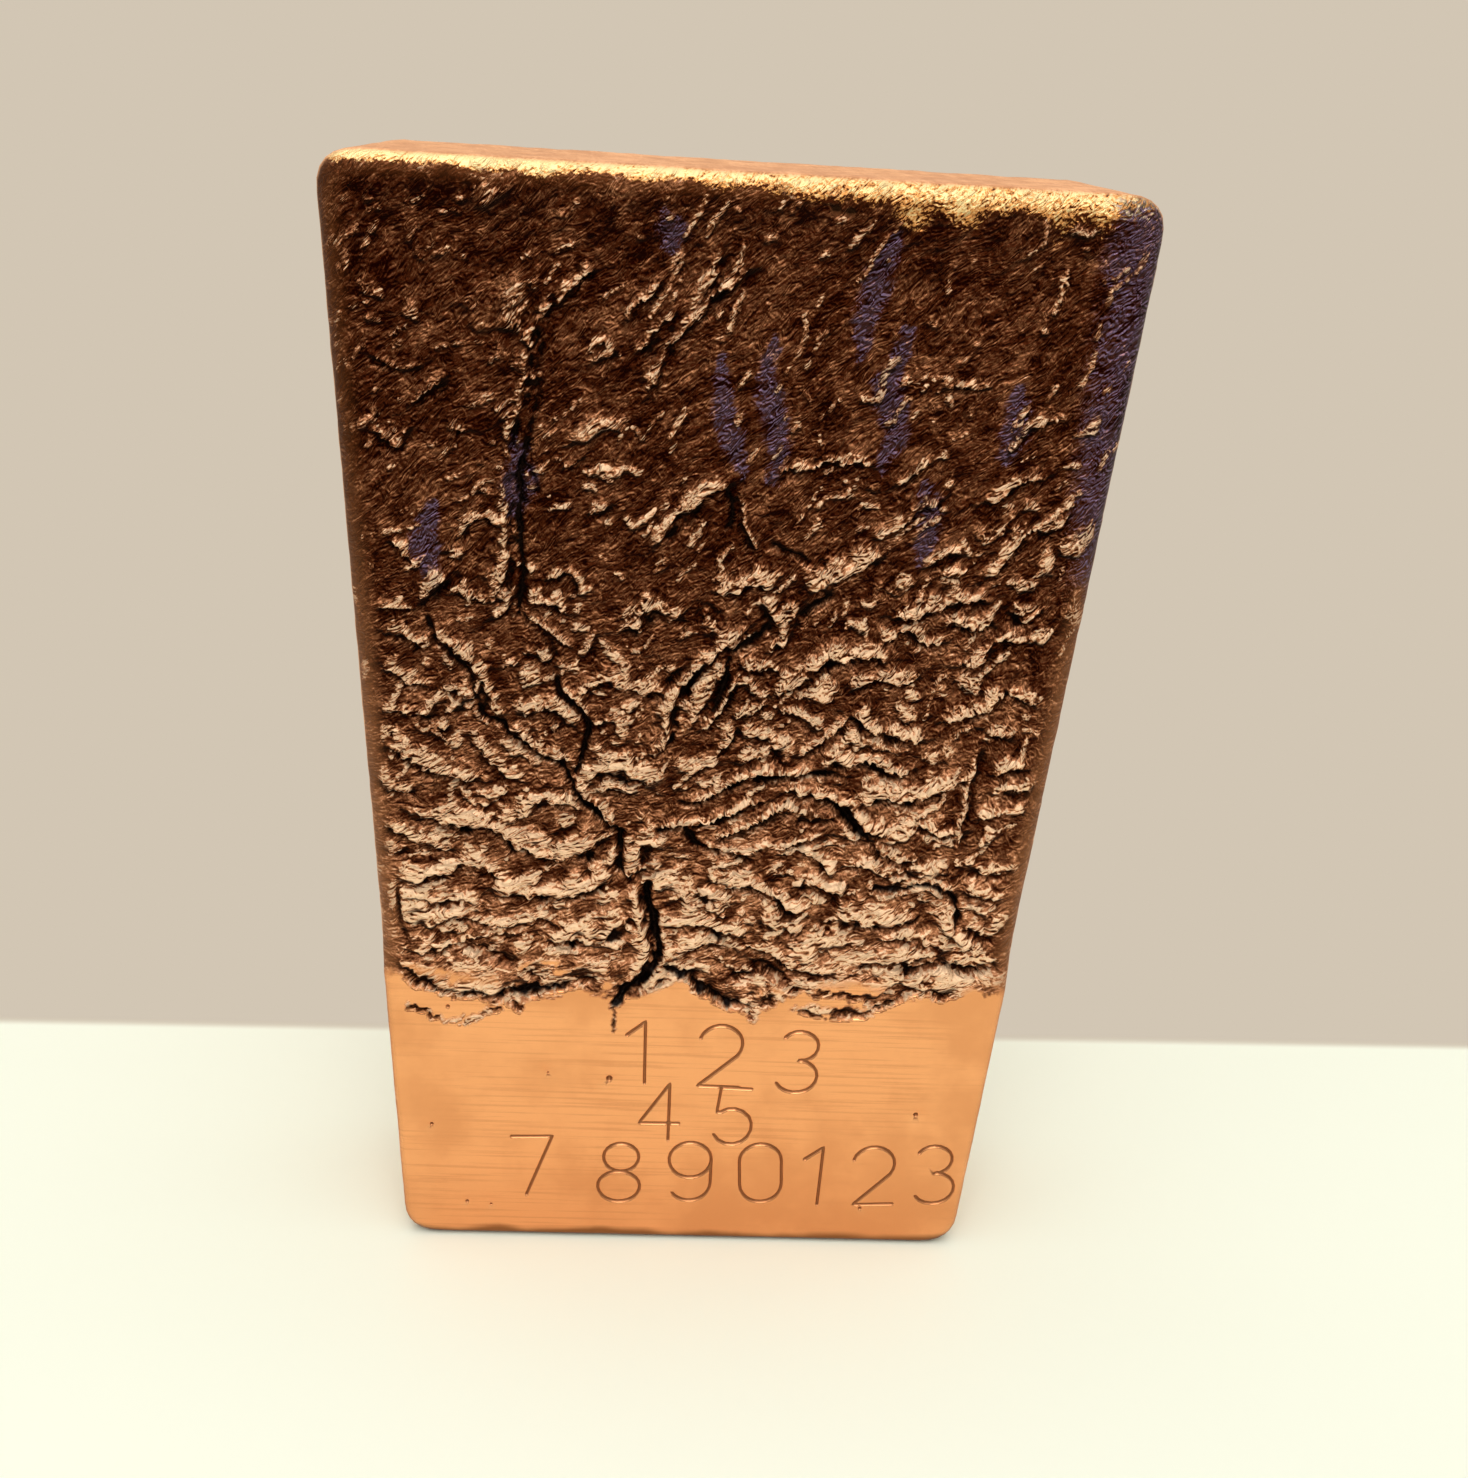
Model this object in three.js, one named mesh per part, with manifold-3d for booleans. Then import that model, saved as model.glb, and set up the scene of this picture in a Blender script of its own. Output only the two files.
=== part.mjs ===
// Copper ingot, cast in an open tapered mould and stood on its narrow end.
// Units are millimetres, +Z is up, the pour face looks along -Y.
import * as THREE from 'three';
import { mergeVertices } from 'three/addons/utils/BufferGeometryUtils.js';
import Module from 'manifold-3d';

// ---- Mould ----
const FACE_LENGTH = 149.4;        // pour face, from its foot edge to its head edge
const FOOT_WIDTH = 79.6;          // across the foot, at its widest
const HEAD_WIDTH = 99.1;          // across the head, at its widest
const THICKNESS = 27.2;           // pour face to the flat mould face behind it
const SIDE_DRAFT = 8;             // degrees that each long side leans in towards the mould face
const HEAD_DRAFT = 3;             // degrees
const FOOT_DRAFT = 1.5;           // degrees, which is also how far the standing ingot leans back
const CORNER_RADIUS = 5;          // corners of the outline
const MOULD_EDGE_RADIUS = 3.5;    // edge round the mould face
const SKIN_EDGE_RADIUS = 2.8;     // pour edge where the cast skin is left
const LAND_EDGE_RADIUS = 1.2;     // pour edge beside the ground land

// ---- Ground land at the foot of the pour face ----
const LAND_HEIGHT = 42;           // top of the land above the foot edge
const LAND_RAGGED = 2.4;          // how far its top edge wanders up and down
const LAND_BLEND = 9;             // height over which the skin drops away from it
const LAND_PROUD = 0.7;           // metal that stood above the land before it was ground off

// ---- Cast skin on the rest of the pour face ----
const RIM_SINK = 0.35;            // skin below the land's level, along the rim
const DISH_SINK = 0.85;           // further sink of the middle, left by shrinkage
const RIM_WIDTH = 11;             // border over which the sink grows

// ---- Star of shrinkage furrows, and the folds that the skin was drawn into round it ----
const STAR_OFFSET = -11;          // star's centre across the face from its middle line
const STAR_HEIGHT = 65;           // star's centre above the foot edge
const FURROW_HALF_WIDTH = 1.8;
const FURROW_FADE = 0.3;          // share of a furrow's route over which it fades out
const FOLD_UPPER_REACH = 1.5;     // gentle slope above a fold's crest, in fold half widths
const FOLD_LOWER_REACH = 0.8;     // steep slope below the crest
const FOLD_FADE = 0.25;           // share of a fold's route over which each end fades out

// A furrow has its depth, and a route of [across, up] places measured from the star's centre.
const FURROWS = [
  // Left arm and its spur
  { depth: 1.9, route: [[0, 0], [-3.6, 2.2], [-7.6, 8.2], [-12.5, 11.6], [-19.2, 17.5]] },
  { depth: 1.4, route: [[-19.2, 17.5], [-20.5, 21.4], [-25, 27], [-26, 30.3], [-23, 33.4]] },
  { depth: 1.2, route: [[-19, 17.8], [-23, 15.6]] },
  // Branch that turns up into the long upright furrow
  { depth: 1.4, route: [[-6.4, 8], [-5.2, 14.6], [-9.5, 20], [-9.6, 23], [-14, 30.2]] },
  { depth: 1.2, route: [[-14.3, 29.6], [-14.3, 47], [-12.4, 59], [-12, 66]] },
  // Beside the climbing rib
  { depth: 1.5, route: [[11, 17.6], [12.4, 23.8], [18, 30]] },
  { depth: 1.2, route: [[21.2, 30.8], [25.2, 34.2]] },
  // Veins on the right
  { depth: 1.5, route: [[7.8, 4], [15, 7.3], [21, 8.9], [28.6, 9.1]] },
  { depth: 1.2, route: [[27, 11.2], [36, 9.1]] },
  { depth: 1.2, route: [[2, 0], [13, 2.3], [18.6, 5]] },
  { depth: 1.1, route: [[13.3, -0.3], [20, 3], [28, 2.7]] },
  { depth: 1.2, route: [[8.1, 0], [12, -2.4], [17.6, -4.2]] },
  { depth: 1.4, route: [[26.6, 5.8], [30.3, 2.2], [34.2, -0.6]] },
  { depth: 1.1, route: [[32.5, 5.5], [41.8, 6.3]] },
  { depth: 1.4, route: [[34, -7.2], [39.7, -5.8], [44.6, -8.6], [45.2, -15]] },
  // Lower arm, down into the land
  { depth: 1.5, route: [[0, 0], [-0.2, -5.2], [1.3, -8.4]] },
  { depth: 1.9, route: [[3.6, -7.4], [4.8, -14], [5.8, -17], [4.8, -19.2]] },
  { depth: 1.9, route: [[4.8, -19.2], [0.5, -25], [0, -31]] },
  // Crevices along the top of the land
  { depth: 1.3, route: [[-27, -23.6], [-13, -25], [-4, -22.6]] },
  { depth: 1.4, route: [[6.6, -20.4], [12.8, -23.8], [18.2, -25.5]] },
  { depth: 1, route: [[25.2, -26], [34, -26.6], [41.5, -22.4]] },
  { depth: 1.1, route: [[44.6, -18.4], [51, -18.8]] },
];

// A fold has the height and half width of its crest. Its gentle, upper side is on the left of
// its route.
const FOLDS = [
  // Left of the star
  { height: 1.4, halfWidth: 2.1, route: [[-27.4, 2], [-17, 0.4], [-10, -3.4], [-1.8, 0]] },
  { height: 1.1, halfWidth: 1.8, route: [[-14.5, 2], [-11.5, 4.4], [-5, 3.6]] },
  { height: 1.4, halfWidth: 2, route: [[-17, -9.4], [-7.5, -9], [-1, -6]] },
  { height: 1.1, halfWidth: 1.7, route: [[-30, -7.5], [-23, -6.2], [-20.5, -4.8], [-16, -8]] },
  { height: 0.9, halfWidth: 1.6, route: [[-26.4, -14.4], [-18, -13.3], [-7.6, -14.1]] },
  { height: 1.2, halfWidth: 1.9, route: [[-9.4, -15.6], [-5, -15.6], [1.4, -12.4]] },
  { height: 0.8, halfWidth: 1.6, route: [[-29, -18], [-19, -16.2], [-13, -15.4]] },
  { height: 1.1, halfWidth: 1.6, route: [[-31, 11.4], [-24, 7.9], [-18.4, 7]] },
  { height: 1.1, halfWidth: 1.6, route: [[-25.2, 27.4], [-20.5, 23], [-15, 15.6]] },
  { height: 1.1, halfWidth: 1.6, route: [[-15.8, 13.9], [-10.4, 11], [-7.2, 10.4]] },
  { height: 1, halfWidth: 1.8, route: [[-15, 16.4], [-8.8, 17], [-6.6, 14.6]] },
  { height: 0.9, halfWidth: 1.6, route: [[-18, 29], [-15.8, 36], [-15.9, 48]] },
  { height: 0.9, halfWidth: 1.6, route: [[-16, 48], [-13.6, 63], [-6.6, 73.2]] },
  // Knuckles of the star, and the rib that climbs from it
  { height: 1.3, halfWidth: 2, route: [[-6, 7.4], [-4, 9], [-0.5, 9.4], [3.7, 6.6]] },
  { height: 1.2, halfWidth: 1.9, route: [[0.6, -4.6], [3.5, -1], [5.6, -1.8]] },
  { height: 1.2, halfWidth: 1.6, route: [[1.2, -22.2], [3.8, -17], [1.8, -8.2]] },
  { height: 1.4, halfWidth: 1.7, route: [[2, 10.6], [4.8, 15.5], [6.4, 21], [11, 26.3], [15.4, 30]] },
  { height: 1.2, halfWidth: 2, route: [[7.2, 17.6], [10.6, 24], [12.2, 26]] },
  { height: 1, halfWidth: 1.6, route: [[-6.2, 17.4], [-5, 21], [5.6, 21]] },
  { height: 1, halfWidth: 1.7, route: [[-2.2, 27.8], [2, 31.6], [6.8, 31.6]] },
  { height: 1.1, halfWidth: 1.7, route: [[10.4, 34], [15.5, 35.6], [18.8, 30.2]] },
  { height: 1.2, halfWidth: 1.9, route: [[21.4, 34.2], [28, 38.6], [31, 40]] },
  // Lips of the veins on the right
  { height: 1.2, halfWidth: 1.5, route: [[7.5, 4.7], [22, 9.9], [27.4, 11.9], [38, 10.2]] },
  { height: 1.2, halfWidth: 1.4, route: [[3.8, 0.2], [9, 1.9], [16.5, 5.3], [19.4, 5.8]] },
  { height: 1.2, halfWidth: 1.4, route: [[11.6, -1], [16.5, 2], [20.8, 4.8], [28, 3.2]] },
  { height: 1.1, halfWidth: 1.5, route: [[9.4, -1], [16, -2.1], [27.6, 1.2]] },
  { height: 1.3, halfWidth: 1.6, route: [[20, 6.4], [27, 6.2], [34.4, 1.2]] },
  { height: 1.3, halfWidth: 1.8, route: [[29.4, 5.7], [37.5, 7], [45, 9.9]] },
  { height: 1.3, halfWidth: 1.7, route: [[28, 18.2], [32, 16.4], [38.8, 15.2]] },
  { height: 1.2, halfWidth: 1.7, route: [[40, 17.8], [45, 19.2], [48, 23], [52.4, 20.4]] },
  { height: 1.3, halfWidth: 1.8, route: [[18.4, 21.6], [23, 24.4], [34, 25.4]] },
  { height: 1.2, halfWidth: 1.8, route: [[32.2, 32], [38, 33.2], [45, 34.8]] },
  { height: 1.1, halfWidth: 1.7, route: [[14.4, 10.6], [19.5, 12.8], [21, 11]] },
  // Right of the lower arm
  { height: 1.1, halfWidth: 1.6, route: [[28, 0.8], [33, -0.1], [39.6, -2.4]] },
  { height: 1, halfWidth: 1.6, route: [[29, -4], [39, -3.7], [44.4, -4.4]] },
  { height: 1.4, halfWidth: 2.2, route: [[28.4, -12.2], [36, -11.8], [39.6, -10]] },
  { height: 1.1, halfWidth: 1.8, route: [[11.4, -6.8], [19.5, -7.6], [25.6, -11.4]] },
  { height: 1.1, halfWidth: 1.8, route: [[6.8, -10], [12.5, -8.6], [14.8, -9.7]] },
  { height: 1.1, halfWidth: 1.8, route: [[7.4, -13.4], [14.5, -14], [17.4, -14.4]] },
  { height: 1.1, halfWidth: 1.6, route: [[16.4, -15.4], [26, -19.6], [33, -19.6]] },
  { height: 1.1, halfWidth: 1.6, route: [[31.4, -18.4], [39, -17.4], [43.8, -16]] },
  { height: 0.9, halfWidth: 1.9, route: [[25, -23], [34, -22.6], [42, -19.6]] },
  // The upper part
  { height: 1, halfWidth: 1.6, route: [[42.6, 36.4], [46.5, 41], [53, 46.6]] },
  { height: 1.1, halfWidth: 1.8, route: [[2, 39], [7.6, 46], [11.6, 48]] },
  { height: 0.9, halfWidth: 1.6, route: [[0, 56], [3.4, 64.4], [13, 74.4]] },
];

// ---- Facets ----
const SKIN_PITCH_ACROSS = 1.8;    // grid of the skin
const SKIN_PITCH_UP = 1.25;
const LAND_PITCH_UP = 5;          // rows of the flat land, below the furrows' reach
const FURROW_TAIL = 9;            // how far below the top of the land the skin's rows begin
const SIDE_PITCH = 7;             // facets along the outline's straight sides
const CORNER_FACETS = 5;          // facets round each outline corner
const EDGE_FACETS = 4;            // facets across each rounded edge
const ROUTE_FACETS = 12;          // straight stretches along a furrow or a fold
const BLOCK_MARGIN = 4;           // relief block past the mould on every side but the front
const FRONT_GROUP = 4;            // place of a box's +Z side among its groups of triangles

const degrees = THREE.MathUtils.degToRad;
const { clamp, lerp, smoothstep } = THREE.MathUtils;

// Half width of the pour face at a height above its foot edge.
function halfWidthAt(height) {
  return lerp(FOOT_WIDTH, HEAD_WIDTH, height / FACE_LENGTH) / 2;
}

// Ragged top of the ground land at a place across the face.
function landTopAt(across) {
  const wander = Math.sin(across / 7.5 + 0.6) + 0.5 * Math.sin(across / 3.3);
  return LAND_HEIGHT + LAND_RAGGED * wander / 1.5;
}

// Radius of the pour edge: crisp beside the land, full where the skin is left.
function pourEdgeRadiusAt(height) {
  const skin = smoothstep(height, LAND_HEIGHT, LAND_HEIGHT + LAND_BLEND);
  return lerp(LAND_EDGE_RADIUS, SKIN_EDGE_RADIUS, skin);
}

// Corner between two straight sides, as the point on the first side, the corner and the point
// on the second side.
function roundedCorner(before, corner, after) {
  const toBefore = before.clone().sub(corner).normalize();
  const toAfter = after.clone().sub(corner).normalize();
  const halfAngle = toBefore.angleTo(toAfter) / 2;
  const setback = CORNER_RADIUS / Math.tan(halfAngle);
  return {
    start: corner.clone().addScaledVector(toBefore, setback),
    corner,
    end: corner.clone().addScaledVector(toAfter, setback),
  };
}

// Outline of the pour face: a trapezium with rounded corners. Its long sides are split so that
// the edge radius can change along them.
function pourOutline() {
  const footLeft = new THREE.Vector2(-FOOT_WIDTH / 2, 0);
  const footRight = new THREE.Vector2(FOOT_WIDTH / 2, 0);
  const headRight = new THREE.Vector2(HEAD_WIDTH / 2, FACE_LENGTH);
  const headLeft = new THREE.Vector2(-HEAD_WIDTH / 2, FACE_LENGTH);
  const ring = [footLeft, footRight, headRight, headLeft];
  const points = [];
  ring.forEach((corner, index) => {
    const before = ring[(index + 3) % 4];
    const after = ring[(index + 1) % 4];
    const arc = roundedCorner(before, corner, after);
    const bend = new THREE.QuadraticBezierCurve(arc.start, arc.corner, arc.end);
    points.push(...bend.getPoints(CORNER_FACETS));
    const isLongSide = Math.abs(after.y - corner.y) > FACE_LENGTH / 2;
    if (isLongSide) {
      const nextArc = roundedCorner(corner, after, ring[(index + 2) % 4]);
      const side = new THREE.LineCurve(arc.end, nextArc.start);
      const stretches = Math.max(1, Math.round(side.getLength() / SIDE_PITCH));
      points.push(...side.getPoints(stretches).slice(1, -1));
    }
  });
  return new THREE.Shape(points);
}

// Where a ring of the mould stands: its depth behind the pour face, and how far its rounded
// edge draws it in. Rings run from the mould face to the pour face.
function ringPlace(ring, height) {
  const lastRing = 2 * EDGE_FACETS + 1;
  const isMouldSide = ring <= EDGE_FACETS;
  const radius = isMouldSide ? MOULD_EDGE_RADIUS : pourEdgeRadiusAt(height);
  const fromFace = isMouldSide ? ring : lastRing - ring;
  const turn = fromFace / EDGE_FACETS * Math.PI / 2;
  const drop = radius * (1 - Math.cos(turn));
  const drawnIn = radius * (1 - Math.sin(turn));
  return { depth: isMouldSide ? THICKNESS - drop : drop, drawnIn };
}

// The mould's inside as a solid: the outline extruded in rings, each drawn in by its rounded
// edge, and behind the pour edge by the drafts. X is across, Y up the face and Z out of it.
function mouldGeometry() {
  const steps = 2 * EDGE_FACETS + 1;
  const geometry = new THREE.ExtrudeGeometry(pourOutline(), {
    depth: steps,
    steps,
    bevelEnabled: false,
  });
  const position = geometry.attributes.position;
  for (let i = 0; i < position.count; i += 1) {
    const height = position.getY(i);
    const { depth, drawnIn } = ringPlace(Math.round(position.getZ(i)), height);
    const wallDepth = Math.max(0, depth - pourEdgeRadiusAt(height));
    const sideInset = wallDepth * Math.tan(degrees(SIDE_DRAFT)) + drawnIn;
    const footInset = wallDepth * Math.tan(degrees(FOOT_DRAFT)) + drawnIn;
    const headInset = wallDepth * Math.tan(degrees(HEAD_DRAFT)) + drawnIn;
    const halfWidth = halfWidthAt(height);
    const length = FACE_LENGTH - footInset - headInset;
    position.setX(i, position.getX(i) * (halfWidth - sideInset) / halfWidth);
    position.setY(i, footInset + height / FACE_LENGTH * length);
    position.setZ(i, THICKNESS - depth);
  }
  return geometry;
}

// Lays a furrow's or a fold's route on the pour face, as short straight stretches. The box round
// it ends where its relief does.
function laid(feature, reach) {
  const points = feature.route.map(([across, up]) => new THREE.Vector2(
    STAR_OFFSET + across,
    STAR_HEIGHT + up,
  ));
  const path = new THREE.SplineCurve(points).getSpacedPoints(ROUTE_FACETS);
  const box = new THREE.Box2().setFromPoints(path).expandByScalar(reach);
  return { ...feature, path, box };
}

// Nearest place on a path: its distance, how far along the path it lies, from 0 to 1, and
// whether the place asked about is on the path's left.
function nearestOnPath(path, place) {
  let nearest = { distance: Infinity, along: 0, onLeft: false };
  for (let i = 1; i < path.length; i += 1) {
    const stretch = path[i].clone().sub(path[i - 1]);
    const offset = place.clone().sub(path[i - 1]);
    const share = clamp(offset.dot(stretch) / stretch.lengthSq(), 0, 1);
    const onLeft = stretch.cross(offset) > 0;
    const distance = offset.addScaledVector(stretch, -share).length();
    if (distance < nearest.distance) {
      nearest = { distance, along: (i - 1 + share) / (path.length - 1), onLeft };
    }
  }
  return nearest;
}

// A smooth hump of height 1 that ends at a given reach.
function hump(distance, reach) {
  return distance < reach ? (1 + Math.cos(Math.PI * distance / reach)) / 2 : 0;
}

// Depth of a furrow at a place. It fades over the last stretch of its route.
function furrowDepth(furrow, place) {
  const { distance, along } = nearestOnPath(furrow.path, place);
  const fade = Math.min(1, (1 - along) / FURROW_FADE + 0.1);
  return furrow.depth * fade * hump(distance, FURROW_HALF_WIDTH);
}

// Height of a fold at a place: a crest that falls gently on its left and steeply on its right.
function foldHeight(fold, place) {
  const { distance, along, onLeft } = nearestOnPath(fold.path, place);
  const fade = smoothstep(Math.min(along, 1 - along), -0.1 * FOLD_FADE, FOLD_FADE);
  const reach = fold.halfWidth * (onLeft ? FOLD_UPPER_REACH : FOLD_LOWER_REACH);
  return fold.height * fade * hump(distance, reach);
}

// The strongest of several features at a place, by the given measure. 0 where none reaches it.
function strongest(features, measure, place) {
  const near = features.filter(({ box }) => box.containsPoint(place));
  return Math.max(0, ...near.map((feature) => measure(feature, place)));
}

// Level of the pour face against the plane of the land. Above 0 it was ground off.
function pourLevel(place, furrows, folds) {
  const fromEdge = Math.min(halfWidthAt(place.y) - Math.abs(place.x), FACE_LENGTH - place.y);
  const sink = RIM_SINK + DISH_SINK * smoothstep(fromEdge, 0, RIM_WIDTH);
  const landTop = landTopAt(place.x);
  const base = lerp(LAND_PROUD, -sink, smoothstep(place.y, landTop - 2, landTop + LAND_BLEND));
  return base + strongest(folds, foldHeight, place) - strongest(furrows, furrowDepth, place);
}

// Height of a row of the relief's grid: wide rows on the land, fine ones on the skin.
function rowHeight(row, landRows) {
  const skinStart = LAND_HEIGHT - FURROW_TAIL;
  return row < landRows
    ? lerp(-BLOCK_MARGIN, skinStart, row / landRows)
    : skinStart + (row - landRows) * SKIN_PITCH_UP;
}

// Turns each square of the front's grid so that its diagonal joins the corners nearest in level,
// which keeps crests and furrows whole whichever way they slant.
function turnDiagonals(geometry) {
  const { index, groups } = geometry;
  const level = (corner) => geometry.attributes.position.getZ(corner);
  const front = groups[FRONT_GROUP];
  for (let i = front.start; i < front.start + front.count; i += 6) {
    const [a, b, d, , c] = index.array.slice(i, i + 6);
    if (Math.abs(level(a) - level(c)) < Math.abs(level(b) - level(d))) {
      index.set([a, b, c, a, c, d], i);
    }
  }
}

// Block whose front is the wrinkled pour face. It stands clear of the mould on its other sides.
function reliefGeometry() {
  const width = Math.max(FOOT_WIDTH, HEAD_WIDTH) + 2 * BLOCK_MARGIN;
  const depth = THICKNESS + BLOCK_MARGIN;
  const skinStart = LAND_HEIGHT - FURROW_TAIL;
  const columns = Math.ceil(width / SKIN_PITCH_ACROSS);
  const landRows = Math.ceil((skinStart + BLOCK_MARGIN) / LAND_PITCH_UP);
  const skinRows = Math.ceil((FACE_LENGTH + BLOCK_MARGIN - skinStart) / SKIN_PITCH_UP);
  const rows = landRows + skinRows;
  const geometry = new THREE.BoxGeometry(width, rows, depth, columns, rows, 1);
  geometry.translate(0, rows / 2, THICKNESS - depth / 2);
  const furrows = FURROWS.map((furrow) => laid(furrow, FURROW_HALF_WIDTH));
  const folds = FOLDS.map((fold) => laid(fold, fold.halfWidth * FOLD_UPPER_REACH));
  const position = geometry.attributes.position;
  const place = new THREE.Vector2();
  for (let i = 0; i < position.count; i += 1) {
    const row = Math.round(position.getY(i));
    position.setY(i, rowHeight(row, landRows));
    if (position.getZ(i) > 0) {
      place.set(position.getX(i), position.getY(i));
      position.setZ(i, THICKNESS + pourLevel(place, furrows, folds));
    }
  }
  turnDiagonals(geometry);
  return geometry;
}

const wasm = await Module();
wasm.setup();

function toSolid(geometry) {
  const bare = geometry.clone();
  bare.deleteAttribute('normal');
  bare.deleteAttribute('uv');
  const merged = mergeVertices(bare, 1e-5);
  return new wasm.Manifold(new wasm.Mesh({
    numProp: 3,
    vertProperties: new Float32Array(merged.attributes.position.array),
    triVerts: new Uint32Array(merged.index.array),
  }));
}

function toGeometry(solid) {
  const mesh = solid.getMesh();
  const geometry = new THREE.BufferGeometry();
  geometry.setAttribute('position', new THREE.BufferAttribute(mesh.vertProperties, 3));
  geometry.setIndex(new THREE.BufferAttribute(mesh.triVerts, 1));
  geometry.computeVertexNormals();
  return geometry;
}

const copper = new THREE.MeshStandardMaterial({
  color: 0xb8693f,
  metalness: 1,
  roughness: 0.32,
});

// The ingot, stood on its drafted foot with its outline's box centred over the origin.
function makeIngot() {
  const casting = toSolid(mouldGeometry()).intersect(toSolid(reliefGeometry()));
  const ingot = new THREE.Mesh(toGeometry(casting), copper);
  ingot.name = 'ingot';
  ingot.rotation.x = Math.PI / 2 - degrees(FOOT_DRAFT);
  const box = new THREE.Box3().setFromObject(ingot, true);
  const middle = box.getCenter(new THREE.Vector3());
  ingot.position.set(-middle.x, -middle.y, -box.min.z);
  return ingot;
}

const part = new THREE.Group();
part.add(makeIngot());

export default part;
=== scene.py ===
"""Copper ingot: the visual model of a bar cast in an open tapered mould.

The bar's skin is worked out in millimetres on a flat casting frame, with X across the pour face,
Y up it and Z out of it. It is then stood on its foot in the part's own frame, in metres.
"""

import logging
import math
from dataclasses import dataclass, fields
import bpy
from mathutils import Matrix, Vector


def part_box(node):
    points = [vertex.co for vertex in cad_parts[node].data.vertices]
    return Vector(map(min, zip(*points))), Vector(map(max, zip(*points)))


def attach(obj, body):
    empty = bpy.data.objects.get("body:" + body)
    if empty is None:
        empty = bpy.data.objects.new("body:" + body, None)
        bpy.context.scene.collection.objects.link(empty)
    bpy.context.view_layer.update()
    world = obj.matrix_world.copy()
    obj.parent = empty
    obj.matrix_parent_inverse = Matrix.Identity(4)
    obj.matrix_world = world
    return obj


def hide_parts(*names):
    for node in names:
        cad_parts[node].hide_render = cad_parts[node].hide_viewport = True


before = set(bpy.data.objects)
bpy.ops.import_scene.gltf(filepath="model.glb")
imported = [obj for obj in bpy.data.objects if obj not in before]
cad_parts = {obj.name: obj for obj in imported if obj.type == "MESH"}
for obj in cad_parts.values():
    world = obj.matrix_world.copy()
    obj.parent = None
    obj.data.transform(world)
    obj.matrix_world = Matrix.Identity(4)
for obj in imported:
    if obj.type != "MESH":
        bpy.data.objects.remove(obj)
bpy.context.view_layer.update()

from types import SimpleNamespace
from typing import Any, Callable, Iterable, Union

import bpy
import numpy as np
from mathutils import Matrix, Vector, noise
from mathutils.geometry import delaunay_2d_cdt

LOG = logging.getLogger("ingot")
MM = 0.001
Point = tuple[float, float]
Triple = tuple[float, float, float]
Colour = tuple[float, float, float, float]


# Node trees written as expressions


def math_node(operation: str, swapped: bool = False) -> Callable[..., "Wire"]:
    """Makes a method of a wire that adds one Math node.

    Args:
        operation: The node's operation.
        swapped: Whether the wire is its last input, and not its first.

    Returns:
        The method.
    """

    def method(wire: "Wire", *others: Any) -> "Wire":
        """Adds the node and gives its output."""
        values = (*others, wire) if swapped else (wire, *others)
        return wire.bench.out("ShaderNodeMath", dict(enumerate(values)), operation=operation)

    return method


class Wire:
    """A node's output. Where it is a number, expressions that use it add Math nodes."""

    def __init__(self, bench: "Bench", socket: bpy.types.NodeSocket) -> None:
        """Keeps the bench and the socket that the wire comes from."""
        self.bench = bench
        self.socket = socket

    __add__ = __radd__ = math_node("ADD")
    __sub__ = math_node("SUBTRACT")
    __rsub__ = math_node("SUBTRACT", swapped=True)
    __mul__ = __rmul__ = math_node("MULTIPLY")
    __truediv__ = math_node("DIVIDE")
    __abs__ = math_node("ABSOLUTE")
    fract = math_node("FRACT")
    floor = math_node("FLOOR")
    least = math_node("MINIMUM")
    greatest = math_node("MAXIMUM")
    exp = math_node("EXPONENT")

    def clamp(self) -> "Wire":
        """Holds the number between 0 and 1."""
        return self.bench.out("ShaderNodeMath", {0: self, 1: 0.0}, operation="ADD", use_clamp=True)

    def ramp(self, low: float, high: float) -> "Wire":
        """Smooth step of the number.

        Args:
            low: Where the result is 0.
            high: Where the result is 1. It may be the smaller of the two.

        Returns:
            The step, from 0 to 1.
        """
        inputs = {"Value": self, "From Min": low, "From Max": high}
        return self.bench.out("ShaderNodeMapRange", inputs, interpolation_type="SMOOTHSTEP")


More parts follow.
